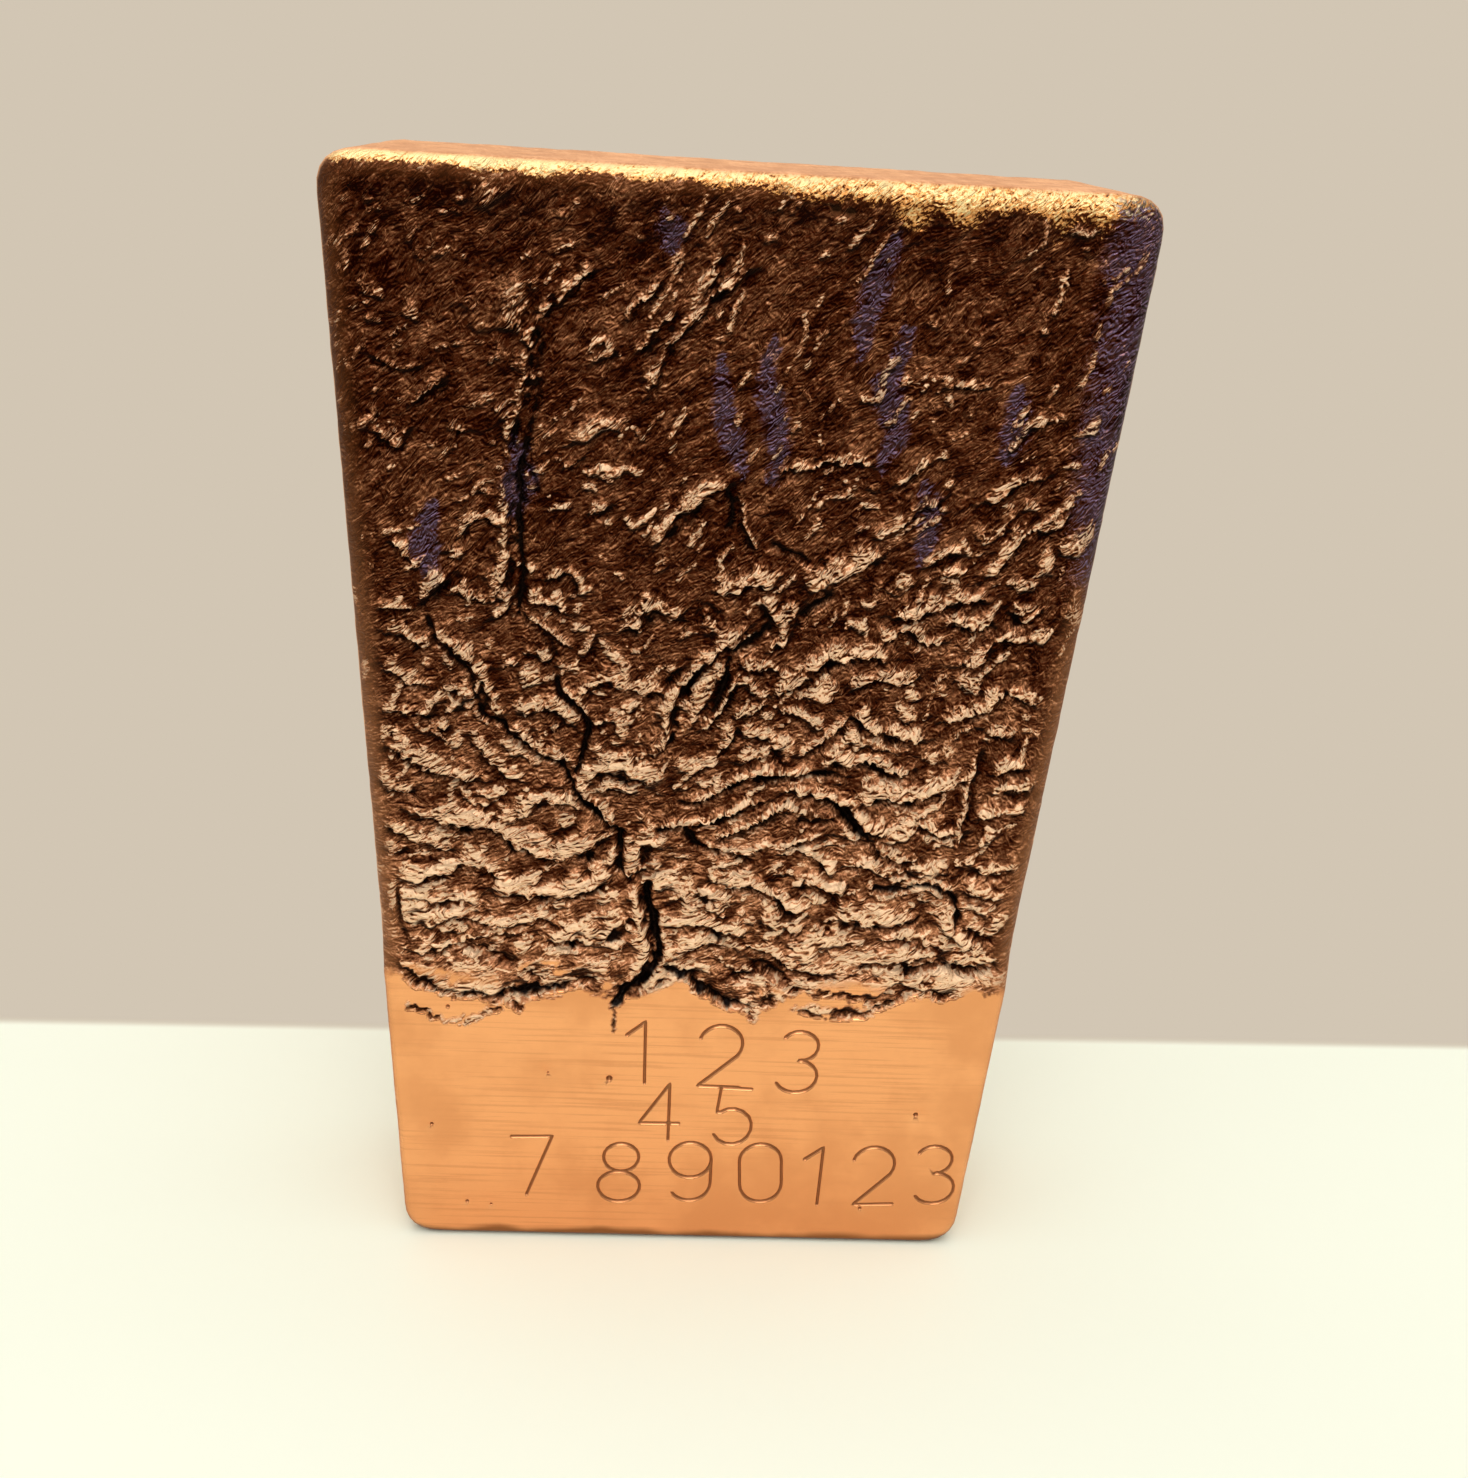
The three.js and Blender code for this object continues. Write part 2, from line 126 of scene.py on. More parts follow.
class Bench:
    """Adds nodes to one shader or geometry tree."""

    def __init__(self, tree: bpy.types.NodeTree) -> None:
        """Keeps the tree and clears what it starts with."""
        self.tree = tree
        tree.nodes.clear()

    def node(
        self, kind: str, inputs: Union[dict[Any, Any], None] = None, **settings: Any
    ) -> bpy.types.Node:
        """Adds any node.

        Args:
            kind: The node's type name.
            inputs: Wires or plain values for its inputs, by name or by place.
            settings: Its properties, which are set first.

        Returns:
            The node.
        """
        node = self.tree.nodes.new(kind)
        for name, value in settings.items():
            setattr(node, name, value)
        for key, value in (inputs or {}).items():
            if isinstance(value, Wire):
                self.tree.links.new(value.socket, node.inputs[key])
            else:
                node.inputs[key].default_value = value
        return node

    def out(
        self,
        kind: str,
        inputs: Union[dict[Any, Any], None] = None,
        which: Union[int, str] = 0,
        **settings: Any,
    ) -> Wire:
        """Adds a node and gives one output.

        Args:
            kind: The node's type name.
            inputs: As for any node.
            which: The output, by name or by place.
            settings: As for any node.

        Returns:
            The output.
        """
        return Wire(self, self.node(kind, inputs, **settings).outputs[which])

    def noise(
        self,
        place: Wire,
        scale: Any,
        detail: float = 2.0,
        rough: float = 0.55,
        twist: float = 0.0,
        which: int = 0,
    ) -> Wire:
        """Adds a fractal noise.

        Args:
            place: The coordinates that it reads.
            scale: Cells for each unit of those coordinates.
            detail: Octaves past the first.
            rough: How much each finer octave counts.
            twist: Distortion of the coordinates by the noise itself.
            which: 0 for the number and 1 for the colour.

        Returns:
            The noise.
        """
        inputs = dict(zip(("Vector", "Scale", "Detail", "Roughness", "Distortion"),
                          (place, scale, detail, rough, twist)))
        return self.out("ShaderNodeTexNoise", inputs, which, noise_dimensions="3D")

    def coated(self, colour: Any, *coats: tuple[Wire, Any]) -> Any:
        """Lays coats of colour over a colour, one after another.

        Args:
            colour: The colour below, or its wire.
            coats: For each coat, how much of it shows and its colour or wire.

        Returns:
            The colour that results.
        """
        for share, coat in coats:
            inputs = {0: share, 6: colour, 7: coat}
            colour = self.out("ShaderNodeMix", inputs, 2, data_type="RGBA", clamp_factor=True)
        return colour

    def join(self, x: Any, y: Any, z: Any) -> Wire:
        """Joins three numbers to a vector."""
        return self.out("ShaderNodeCombineXYZ", {0: x, 1: y, 2: z})

    def parts(self, vector: Wire) -> list[Wire]:
        """Splits a vector into its three numbers."""
        return [Wire(self, o) for o in self.node("ShaderNodeSeparateXYZ", {0: vector}).outputs]

    def stored(self, name: str) -> Wire:
        """Reads a value stored on the mesh, in either kind of tree.

        Args:
            name: The value's name.

        Returns:
            The value.
        """
        if self.tree.type == "GEOMETRY":
            return self.out("GeometryNodeInputNamedAttribute", {"Name": name}, data_type="FLOAT")
        return self.out("ShaderNodeAttribute", which="Fac", attribute_name=name)

    def marks(self, names: str) -> SimpleNamespace:
        """Several values stored on the mesh, each under its own name."""
        return SimpleNamespace(**{name: self.stored(name) for name in names.split()})


# Routes on the pour face


def smooth_route(points: Iterable[Point], step: float = 0.6) -> np.ndarray:
    """Runs a smooth curve through chosen points.

    Args:
        points: The route's points in millimetres.
        step: Rough spacing of the result.

    Returns:
        The curve's points, one in each row.
    """
    knots = np.array(list(points), dtype=float)
    if len(knots) < 3:
        count = max(2, int(np.linalg.norm(knots[-1] - knots[0]) / step) + 1)
        return np.linspace(knots[0], knots[-1], count)
    padded = np.vstack([2 * knots[0] - knots[1], knots, 2 * knots[-1] - knots[-2]])
    pieces = []
    for a, b, c, d in zip(padded, padded[1:], padded[2:], padded[3:]):
        count = max(2, int(np.linalg.norm(c - b) / step) + 1)
        t = np.linspace(0.0, 1.0, count, endpoint=False)[:, None]
        bend = 2 * b + (c - a) * t + (2 * a - 5 * b + 4 * c - d) * t**2
        pieces.append(0.5 * (bend + (3 * b - a - 3 * c + d) * t**3))
    pieces.append(knots[-1:])
    return np.vstack(pieces)


@dataclass(frozen=True)
class Nearest:
    """For each place: its distance to a route, the share of the route there, and the side."""

    distance: np.ndarray
    along: np.ndarray
    side: np.ndarray


def nearest_on(route: np.ndarray, places: np.ndarray) -> Nearest:
    """Measures places against a route.

    Args:
        route: The route's points.
        places: The places to measure.

    Returns:
        The distance, the share along and the side, which is 1 to the route's left.
    """
    best = np.full(len(places), np.inf)
    along = np.zeros(len(places))
    side = np.ones(len(places))
    spans = np.linalg.norm(np.diff(route, axis=0), axis=1)
    travelled = np.concatenate([[0.0], np.cumsum(spans)])
    for index, (start, end) in enumerate(zip(route, route[1:])):
        run = end - start
        offset = places - start
        share = np.clip(offset @ run / max(run @ run, 1e-9), 0.0, 1.0)
        gap = np.hypot(offset[:, 0] - share * run[0], offset[:, 1] - share * run[1])
        closer = gap < best
        best[closer] = gap[closer]
        along[closer] = (travelled[index] + share[closer] * spans[index]) / travelled[-1]
        turn = run[0] * offset[closer, 1] - run[1] * offset[closer, 0]
        side[closer] = np.where(turn >= 0.0, 1.0, -1.0)
    return Nearest(best, along, side)


def gap_to(routes: list[np.ndarray], places: np.ndarray) -> np.ndarray:
    """Distance from each place to the nearest of several routes."""
    return np.min([nearest_on(route, places).distance for route in routes], axis=0)


def hump(distance: np.ndarray, reach: Any) -> np.ndarray:
    """A smooth hump of height 1 that ends at a given reach."""
    return np.where(np.abs(distance) < reach, 0.5 + 0.5 * np.cos(np.pi * distance / reach), 0.0)


def smoothstep(value: np.ndarray, low: Any, high: Any) -> np.ndarray:
    """Smooth step from 0 at low to 1 at high."""
    t = np.clip((value - low) / (high - low), 0.0, 1.0)
    return t * t * (3.0 - 2.0 * t)


@dataclass(frozen=True)
class Crack:
    """A furrow where the skin tore or was drawn in. Sizes are in millimetres."""

    route: tuple[Point, ...]
    half_width: float
    depth: float
    fade: float = 0.3

    def relief(self, places: np.ndarray, uneven: np.ndarray) -> np.ndarray:
        """Works out the furrow.

        Args:
            places: Places on the pour face.
            uneven: How much wider the furrow is at each place, as a factor.

        Returns:
            How far the furrow sinks at each place.
        """
        near = nearest_on(smooth_route(self.route), places)
        fade = np.clip((1.0 - near.along) / self.fade + 0.25, 0.0, 1.0)
        floor = np.clip(1.15 - near.distance / (0.85 * self.half_width * uneven + 0.14), 0.0, 1.0)
        return self.depth * fade * floor


@dataclass(frozen=True)
class Ridge:
    """A fold of skin that stands above the rest. Sizes are in millimetres."""

    route: tuple[Point, ...]
    half_width: float
    height: float
    vein_limit: float = 0.65

    @property
    def fine(self) -> bool:
        """Whether it is a thin vein, and not a broad fold."""
        return self.half_width < self.vein_limit

    def relief(self, places: np.ndarray, width: np.ndarray) -> tuple[np.ndarray, ...]:
        """Works out the ridge: steep and undercut below its crest, gentle above it.

        Args:
            places: Places on the pour face. The routes run with their upper side on the left.
            width: How much wider the ridge is at each place, as a factor.

        Returns:
            How far it stands up at each place, how near its crest the place is, up to 1, how
            deep it is undercut there, and how much ground it keeps clear of other folds.
        """
        near = nearest_on(smooth_route(self.route), places)
        upper = near.side > 0.0
        ends = np.clip(5.0 * np.minimum(near.along, 1.0 - near.along) + 0.2, 0.0, 1.0)
        own = self.half_width * width
        reach = own * np.where(upper, 1.5 if self.fine else 2.3, 0.5)
        slope = 0.4 * hump(near.distance, reach) + 0.6 * np.clip(1.0 - near.distance / reach, 0.0, 1.0)
        shape = ends * np.where(upper, slope, hump(near.distance, reach))
        apart = own * np.where(upper, 1.5, 0.5)
        clear = 1.0 - smoothstep(near.distance, apart + 0.3, apart + 1.9)
        foot = 0.5 * own + 0.4
        under = ends * hump(near.distance * near.side + foot, 0.75) * self.height
        crest = np.clip(1.6 * shape - 0.45, 0.0, 1.0) * min(1.0, 0.4 + 0.6 * self.height)
        return self.height * shape, crest, under, clear


def laid(kind: Callable[..., Any], sizes: int, rows: Iterable[tuple[float, ...]]) -> tuple[Any, ...]:
    """Lays furrows or folds from rows of numbers.

    Args:
        kind: The class to make.
        sizes: How many sizes each row starts with.
        rows: The rows. Past their sizes they go on with across and up in turn.

    Returns:
        One furrow or fold for each row.
    """
    return tuple(kind(tuple(zip(row[sizes::2], row[sizes + 1::2])), *row[:sizes]) for row in rows)


# The star's centre on the pour face, and its shrinkage furrows from there outwards: half width,
# depth, the share of the length over which the furrow fades out, and the route.
STAR_CENTRE: Point = (-11.0, 65.3)
STAR: tuple[Crack, ...] = laid(Crack, 3, (
    (0.48, 1.7, 0.3, -11, 65.2, -14.6, 67.2, -16.8, 70, -18.6, 73.2, -21, 75, -23.5, 76.6),
    (0.5, 1.7, 0.2, -23.5, 76.6, -26, 77.6, -26.9, 79.6, -29.4, 80.4, -30.2, 82.5),
    (0.4, 1.2, 0.3, -30.2, 82.5, -31.5, 86.4, -34, 89, -36, 92, -37, 95.3),
    (0.45, 0.9, 0.3, -37, 95.3, -35.8, 96.8, -34, 98.4),
    (0.45, 1.1, 0.3, -30, 82.8, -32, 82.3, -34, 80.6),
    (0.5, 1.4, 0.3, -17.4, 73, -16.6, 76, -16.2, 79.6, -18, 82.6, -20.5, 85, -20.6, 88),
    (0.35, 0.8, 0.3, -20.4, 89.5, -22.5, 92.6, -25, 95.2),
    (0.5, 1.2, 0.1, -25.3, 94.6, -24.9, 100, -25.3, 106, -25.4, 112, -24.5, 118),
    (0.4, 0.8, 0.3, -24.5, 118, -23.4, 124, -23, 131),
    (0.35, 0.8, 0.3, -25.2, 114.4, -24, 112.3, -23.3, 109.6),
    (0.6, 1.4, 0.3, -3.2, 69, 0.5, 70.3, 4, 72.3, 5.8, 72.6),
    (0.7, 1.7, 0.3, 5.8, 73, 10, 73.9, 14, 74.3, 17.6, 74.1),
    (0.6, 1.4, 0.3, 16, 76.2, 19, 76, 22, 75.1, 25, 74.1),
    (0.62, 1.6, 0.3, -6.2, 65.3, -2, 66.2, 2, 67.3, 5, 69, 7.6, 70),
    (0.52, 1.3, 0.3, 2.3, 64.7, 6, 65.9, 9, 68, 11.5, 68.3),
    (0.5, 1.1, 0.3, 12.2, 67.4, 14.5, 67.2, 17, 67.7),
    (0.62, 1.5, 0.3, -2.9, 65, -1, 63.2, 1, 62.6, 3.5, 62.5, 6.6, 60.8),
    (0.75, 1.6, 0.3, 15.6, 70.8, 17.5, 69.4, 19.3, 67.2, 21.5, 65.3, 23.2, 64.4),
    (0.55, 1.3, 0.3, 21.5, 70.5, 25, 70.8, 30.8, 71.3),
    (0.5, 1.4, 0.3, 23, 57.8, 26.5, 58, 28.7, 59.2, 31, 58.5, 33.6, 56.4, 34.4, 53.5, 34.2, 50),
    (0.5, 1.5, 0.3, -11.2, 65, -11.4, 62, -11.2, 59.8, -9.7, 56.6),
    (0.75, 1.9, 0.05, -7.4, 57.6, -7.1, 55, -6.2, 51, -5.2, 48, -6.2, 45.8),
    (0.8, 1.9, 0.1, -6.2, 45.8, -8, 43, -10.5, 40, -11.6, 38.9),
    (0.4, 0.9, 0.3, -11.4, 38.9, -11.1, 37, -11.4, 35.8, -11, 34),
    (0.6, 1.0, 0.3, -5.6, 81.2, -4.9, 82.2, -4.2, 83.4),
    (0.45, 0.9, 0.3, -7, 85.6, -5, 87.6, -3, 89.6),
    (0.55, 1.3, 0.2, 0, 82.6, 0.8, 86, 1.4, 88.8, 2, 91),
    (0.7, 1.5, 0.3, 2, 91, 4, 92.4, 7, 95),
    (0.6, 1.2, 0.3, 10.2, 95.8, 12.2, 97.8, 14.2, 99.2),
    (0.6, 1.1, 0.3, 0.2, 107, 0.3, 109.5, -0.6, 112.2),
    (0.5, 0.9, 0.3, 6, 104.8, 8.5, 104, 11.5, 102.6),
    (0.35, 0.7, 0.3, -41.3, 57.5, -40.6, 53, -39.8, 49, -38.6, 46),
))

# Crevices along the top of the ground land: half width, depth and route.
LAND_EDGE: tuple[Crack, ...] = laid(Crack, 2, (
    (0.55, 1.1, -38, 41.4, -35.5, 41, -32.5, 40.2),
    (0.55, 1.3, -32, 40, -28, 39.9, -24, 40.4, -20.5, 41.2, -15, 42.4),
    (0.45, 0.8, -25.6, 39.6, -24.6, 38),
    (0.26, 0.5, -39, 37.6, -37, 37.1, -36, 36.1, -34, 35.9, -31.8, 36.5),
    (0.3, 0.6, -31.6, 35.5, -29.8, 36, -28.6, 37.2, -27.2, 38),
    (0.9, 0.9, -9, 41, -6.5, 42.6, -3.8, 43.8),
    (0.6, 1.3, -4.4, 44.6, -1.5, 44.2, -0.5, 42.6, 1.8, 41.2, 4, 39.9, 7.2, 39.5),
    (0.5, 0.9, 6.6, 39.8, 7.3, 38),
    (0.4, 0.8, 8.8, 39.4, 11, 40.4),
    (0.4, 0.9, 14.2, 39, 17.5, 38.7, 23, 38.4, 25, 39.8, 30.5, 42.6),
    (0.5, 1.1, 28, 45.6, 31, 46.5, 33.4, 46.9),
    (0.6, 1.1, 33.6, 46.6, 36, 45.8, 40, 46.2),
    (0.5, 0.6, 32.4, 41.9, 34.8, 41.8),
    (0.9, 1.0, 5.6, 43.6, 8.4, 45.4, 10.6, 44.2, 13, 42.9),
    (0.5, 0.7, -31, 46.6, -28, 46, -26.4, 45.1),
    (0.4, 0.7, -18.6, 47.6, -16.2, 48.8),
    (0.6, 0.6, -22.6, 42.9, -21.4, 42.9),
))

# Folds of the skin: half width, height and route, with the gentle, upper side on its left.
RIDGES: tuple[Ridge, ...] = laid(Ridge, 2, (
    # Left of the star
    (1.7, 1.35, -38.4, 67, -34, 66, -28, 65.4, -24.5, 63, -21, 61.6, -17, 62.2, -12.8, 65.2),
    (1.4, 1.0, -25.5, 67, -22.5, 69.4, -19.5, 69.6, -16, 68.6),
    (1.1, 0.9, -42.5, 65.8, -39.5, 63.8, -36, 62.7, -33.2, 61.6),
    (1.6, 1.3, -28, 55.6, -24, 56, -18.5, 56, -15, 57, -12, 59),
    (1.3, 1.0, -41, 57.5, -37, 57.5, -34, 58.8, -31.5, 60.2, -29, 58.8, -27, 57),
    (0.9, 0.8, -39.4, 54.8, -35, 54.3, -32.5, 55.2, -29, 53.4),
    (0.9, 0.8, -37.4, 50.6, -33, 52.2, -29, 51.7, -25.5, 51, -22, 52.4, -18.6, 50.9),
    (1.6, 1.1, -20.4, 49.4, -16, 49.4, -12.5, 50.6, -9.6, 52.6),
    (0.9, 0.7, -40, 47, -37, 46.4, -34, 47.6, -30, 48.8, -27, 49.8, -24, 49.6),
    (0.8, 0.6, -40.6, 44.8, -37.4, 43.2, -34.6, 42.6),
    (0.9, 0.7, -43.2, 72, -40.5, 70.3, -38.4, 70.6),
    (0.8, 0.6, -42.6, 62.4, -40.8, 61.4, -39.4, 61.8),
    # Between the left arm and the top of the left side
    (1.2, 1.0, -42, 76.4, -39.5, 75.9, -37.3, 74.4, -35, 72.9, -29.4, 72),
    (0.7, 0.7, -31, 78.2, -29.4, 75.8, -27.8, 73.8, -25.6, 73, -23.8, 71.8),
    (0.8, 0.8, -42.6, 81.4, -40, 81.5, -38, 81.2, -36.6, 80.6, -35.6, 82, -33.8, 83),
    (0.8, 0.8, -35.2, 84.2, -33, 84.2, -30.6, 83.2),
    (0.7, 0.8, -34.4, 80.7, -32.6, 81.7, -31.2, 82.9),
    (0.7, 0.7, -42.6, 87.6, -40.5, 87, -39, 85.3, -36.2, 84.7),
    (0.8, 0.8, -41.6, 91.9, -39.2, 91.6, -37.6, 90.2, -35.8, 90.4),
    (0.6, 0.7, -42.8, 95.2, -40.5, 95.5, -37.8, 95.2),
    (1.1, 1.0, -36.9, 96.3, -35.8, 97.8, -33.8, 99.4),
    (0.9, 1.0, -36.2, 92.4, -34, 90.4, -31.5, 88, -29.5, 85.4, -28.3, 82.2, -26, 80.6),
    (1.1, 1.0, -26.8, 78.9, -24, 78, -21.4, 76, -18.2, 75.4),
    (1.5, 0.9, -26, 81.4, -22.6, 82.2, -19.8, 82, -17.6, 79.6),
    (0.8, 0.6, -35, 79, -33.6, 79.4),
    (0.7, 0.6, -27.6, 87.4, -25.6, 88.2),
    (0.8, 0.7, -24.6, 89.6, -22.4, 89.4, -20.9, 90),
    (0.6, 0.7, -24.4, 94.9, -22, 93, -18.6, 90.6),
    (0.9, 0.7, -24.6, 96.7, -21.6, 96.7, -19, 95.4),
    (0.7, 0.6, -22, 99, -19.4, 100.4, -17, 97.7),
    (1.1, 1.0, -28.9, 94.2, -27, 95.8, -25.7, 98.8),
    (0.7, 0.8, -29, 96.4, -27.3, 98.2, -26.6, 101.6),
    (0.7, 0.6, -33.8, 96.9, -31.6, 97.3, -29.4, 95.4),
    (0.8, 0.7, -41.4, 103.6, -39.2, 102.2, -37.4, 100.4),
    (0.8, 0.6, -34.8, 103.2, -32.6, 102.2),
    # The star's knuckles
    (1.9, 1.2, -17, 72.4, -15, 74, -11.5, 74.4, -8.7, 73.2, -7.3, 71.6),
    (1.6, 0.8, -15.4, 71.4, -12, 72.2, -9.4, 70.6),
    (0.7, 1.1, -17.2, 73.6, -16.3, 70.6, -14, 68, -11.6, 66.2),
    (1.6, 1.1, -10.4, 60.4, -9, 62.5, -7.5, 64, -5.4, 63.2),
    (1.0, 0.9, -10.4, 58.4, -8.5, 60, -6, 61),
    (1.1, 1.1, -9.8, 42.8, -7.8, 45.6, -7.2, 48, -8.2, 51, -8.5, 54, -9.2, 56.8),
    (0.8, 0.9, -12.6, 59.4, -12.4, 61.6, -11.9, 63.6),
    (0.6, 0.7, -20.2, 85, -18, 83.8, -16.6, 82, -16.3, 80.6),
    (0.9, 0.9, -17.2, 82.4, -16, 86, -12, 86, -8.5, 85.1, -5.4, 86),
    (0.8, 0.6, -15.8, 79.6, -13.4, 80.4, -11.4, 78.6),
    (0.7, 0.7, -17, 89.4, -15.2, 92.6),
    (1.1, 0.9, -13.2, 92.8, -10.5, 94, -9, 96.6, -6.5, 95.2, -4.2, 96.6),
    (1.3, 0.9, -3.4, 73.2, -1, 75.4, 1.2, 75.8),
    (0.7, 0.8, 0.6, 76.6, 1.8, 79, 2.2, 80.6),
    # The rib that climbs from the star
    (0.9, 1.3, -9, 75.6, -7, 77.4, -6.2, 80.5, -5.8, 83.5, -4.6, 86, -2.5, 88.8, 0, 91.3, 1.8, 92.8, 4.4,
     95),
    (1.6, 0.6, -4.4, 79.4, -2.6, 82, -1, 85, 0.4, 87.6, 2, 90),
    (1.4, 0.5, -5.6, 80, -4, 83, -1.6, 86.4, 1.4, 89.4),
    (0.6, 1.2, -2.2, 79.6, -0.2, 81.4, 1.4, 85, 2.6, 88.4),
    (0.7, 0.9, 6, 91.4, 7.6, 92.6, 8.6, 95, 9.4, 98),
    (1.3, 1.1, -0.6, 99, 2, 99.8, 4.5, 100.6, 6.4, 99.6),
    (1.0, 0.9, 5.4, 98.6, 6.4, 96.6, 7.8, 95.2),
    (1.7, 1.1, 10.4, 99.2, 13.5, 101.4, 17, 103.6, 20, 105),
    (0.7, 0.5, -0.2, 93.6, -1.8, 95.8, -2.2, 94),
    # Veins to the right of the star
    (0.6, 1.1, -3.5, 69.7, 0, 71.1, 2.8, 73, 6, 74.3, 11, 74.9, 14.8, 75.4),
    (0.7, 1.1, 14.6, 75.2, 16.4, 76.9, 20.5, 76.9, 23, 75.6, 27, 75.2),
    (0.48, 1.2, -7.2, 65.2, -5.5, 66.4, -2, 66.9, 0.5, 68, 3, 69, 5.5, 70.3, 8.4, 70.8),
    (0.45, 1.1, 0.6, 64, 2, 65.5, 5.5, 67, 8, 68.8, 9.8, 69.8, 12, 69, 17, 68.2),
    (0.6, 1.0, -1.6, 64, 2.5, 63.3, 5, 62.9, 7.5, 63.9, 10.5, 64.2, 13, 65.2, 16.6, 66.2),
    (0.9, 1.2, 9, 71.4, 13, 72, 16, 71.2, 18.5, 69.8, 20.5, 68, 23.4, 66.2, 26.4, 65.6),
    (1.4, 1.2, 18.4, 70.7, 22, 71.4, 26.5, 72, 30, 73.2, 34, 74.9),
    (0.7, 0.8, 10.8, 76.8, 13, 78.4, 15.4, 80.8, 17, 83.2),
    (1.1, 1.2, 17, 83.2, 19, 82.6, 21, 81.4, 23, 80.7, 27.8, 80.2),
    (1.1, 1.1, 29, 82.8, 31.5, 83.4, 34, 84.2, 35.8, 86, 37, 88),
    (0.9, 0.9, 37, 88, 38.2, 87.2, 39.5, 86, 41.4, 85.4),
    (1.2, 1.0, 7.4, 86.4, 9.6, 87.2, 12, 88.6),
    (1.2, 1.2, 10.6, 89.2, 13, 90.3, 16, 91, 19.5, 91.3, 22, 90.7),
    (0.9, 0.9, 20.4, 92.6, 22.4, 94.3, 24.5, 94.7, 26.5, 93.4, 28.8, 94),
    (1.2, 1.1, 21.2, 97, 24.5, 97, 27, 98.2, 30, 99.4, 34, 99.8),
    (1.2, 0.9, 17.4, 86.6, 19.8, 88.2, 22.5, 87.8, 25.8, 89),
    (1.2, 1.0, 3.4, 75.6, 6, 76.9, 8.5, 77.8, 10, 76),
    (0.9, 0.8, 3, 78.8, 5, 80.1, 7.5, 79.3, 10, 77.8),
    (0.7, 0.7, 2.4, 82.2, 4, 82.6, 6.2, 84.4),
    (0.9, 0.7, 8.4, 83.8, 11, 82.6, 14.2, 80.8),
    (0.8, 0.7, 1.8, 86.2, 3.6, 87, 5, 86, 7, 86),
    (0.8, 0.7, 2.4, 89.8, 4.6, 88.4, 6.4, 89.3, 8, 88.2),
    (0.9, 0.8, 28, 95.8, 30, 96.6, 32.4, 95.6, 35, 96.6),
    (0.8, 0.8, 36.4, 98, 38.4, 97.4, 40.4, 98.4),
    (0.8, 0.8, 30, 90.3, 32.5, 90.8, 34.6, 92.4, 36, 94.6, 39.4, 94.4),
    (0.9, 0.8, 35.4, 81.6, 37, 81.4, 38.4, 80.6),
    (0.9, 0.9, 36.6, 75.4, 38.5, 76.6, 41.6, 77),
    (0.8, 0.8, 37.4, 72.9, 40, 73.4, 42.4, 74.2),
    (0.9, 0.9, 35.8, 68.8, 38, 70, 42, 70.4),
    (1.0, 0.9, 25.6, 66.8, 28.5, 67.6, 31, 66.6, 35, 67.4),
    (0.6, 0.8, 33.7, 63.4, 33.5, 68, 34, 74, 34.8, 79),
    # Right of the lower arm
    (1.0, 1.0, 17, 65.8, 20, 66, 22, 64.9, 25, 63, 28.6, 62.6),
    (1.0, 0.9, 18, 61, 21, 61.6, 24, 60.2, 28, 61.3, 31, 60.8, 33.4, 60.6),
    (0.8, 0.9, 24, 58.7, 28, 60, 31, 59.5, 33.6, 57.6),
    (1.9, 1.3, 17.4, 52.8, 20.5, 53.8, 25, 53.2, 28.6, 55),
    (1.2, 1.0, 0.4, 58.2, 4, 58.1, 8.5, 57.4, 11.5, 54.8, 14.6, 53.6),
    (1.2, 0.9, -4.2, 55, -1, 56.7, 1.5, 56.4, 3.8, 55.3),
    (0.9, 0.9, 12, 57.3, 14, 58.8, 17, 57.6, 19, 55.8),
    (0.8, 0.9, 9.6, 62.6, 12.6, 63.4, 14.8, 62.2, 17.6, 59.6),
    (1.3, 1.0, -3.6, 51.6, 0, 52.3, 3.5, 51, 6.4, 50.6),
    (1.1, 0.9, -3, 47, 0.5, 49.6, 4, 49.3, 6, 47.4),
    (0.9, 1.0, 5.4, 49.6, 9, 48, 12, 46.4, 15, 45.4, 22, 45.4),
    (1.0, 1.0, 20.4, 46.6, 24, 47.1, 28, 47.6, 32.8, 49),
    (0.9, 0.9, 33, 48.4, 35, 47.8, 38, 47.2, 41.4, 47.6),
    (1.0, 0.8, 8, 52.6, 11, 51.4, 14, 52.2),
    (0.8, 0.8, 24, 51, 27, 51, 30, 50.4, 33, 49.4),
    (1.6, 0.8, 14, 42, 18, 42.8, 23, 42.4, 27, 44, 31, 45.4),
    (1.0, 0.8, 34.6, 62.2, 38, 61.4, 42, 61.8),
    (1.0, 0.9, 34.4, 58.2, 37, 57.8, 40.4, 57.2),
    (0.9, 0.8, 35.8, 53.4, 38.6, 51.8, 42, 54.4),
    # The upper part
    (0.9, 0.9, 31.6, 101.4, 33.5, 103, 35.5, 106, 37, 108.6, 40, 109.4, 42, 111.6),
    (0.8, 0.7, 33.6, 118, 35.2, 120.8, 37, 122, 40.4, 122.6),
    (0.9, 0.7, 30.6, 111.4, 33.6, 113, 36, 115.2, 39.4, 116.2),
    (0.9, 0.8, 18.6, 106.6, 21, 108.4, 24, 110.8, 26.4, 112),
    (1.0, 0.8, 5.6, 113.4, 9.6, 115.8, 13, 116.6, 17.8, 116.2),
    (0.8, 0.6, 20, 113, 22.4, 115.4, 24.6, 117),
    (0.7, 0.6, 24, 125, 27, 126, 30.6, 126.6),
    (0.9, 0.7, 24.4, 103.4, 27, 105, 30, 105.4),
    (0.8, 0.8, -29, 96, -26.8, 102, -27, 108, -26.9, 113),
    (0.8, 0.8, -27, 113, -26.4, 119, -25.2, 123, -24.6, 128, -23.2, 132, -21, 135.6),
    (0.9, 0.9, -21.6, 132.2, -20, 135.4, -17.6, 138.2),
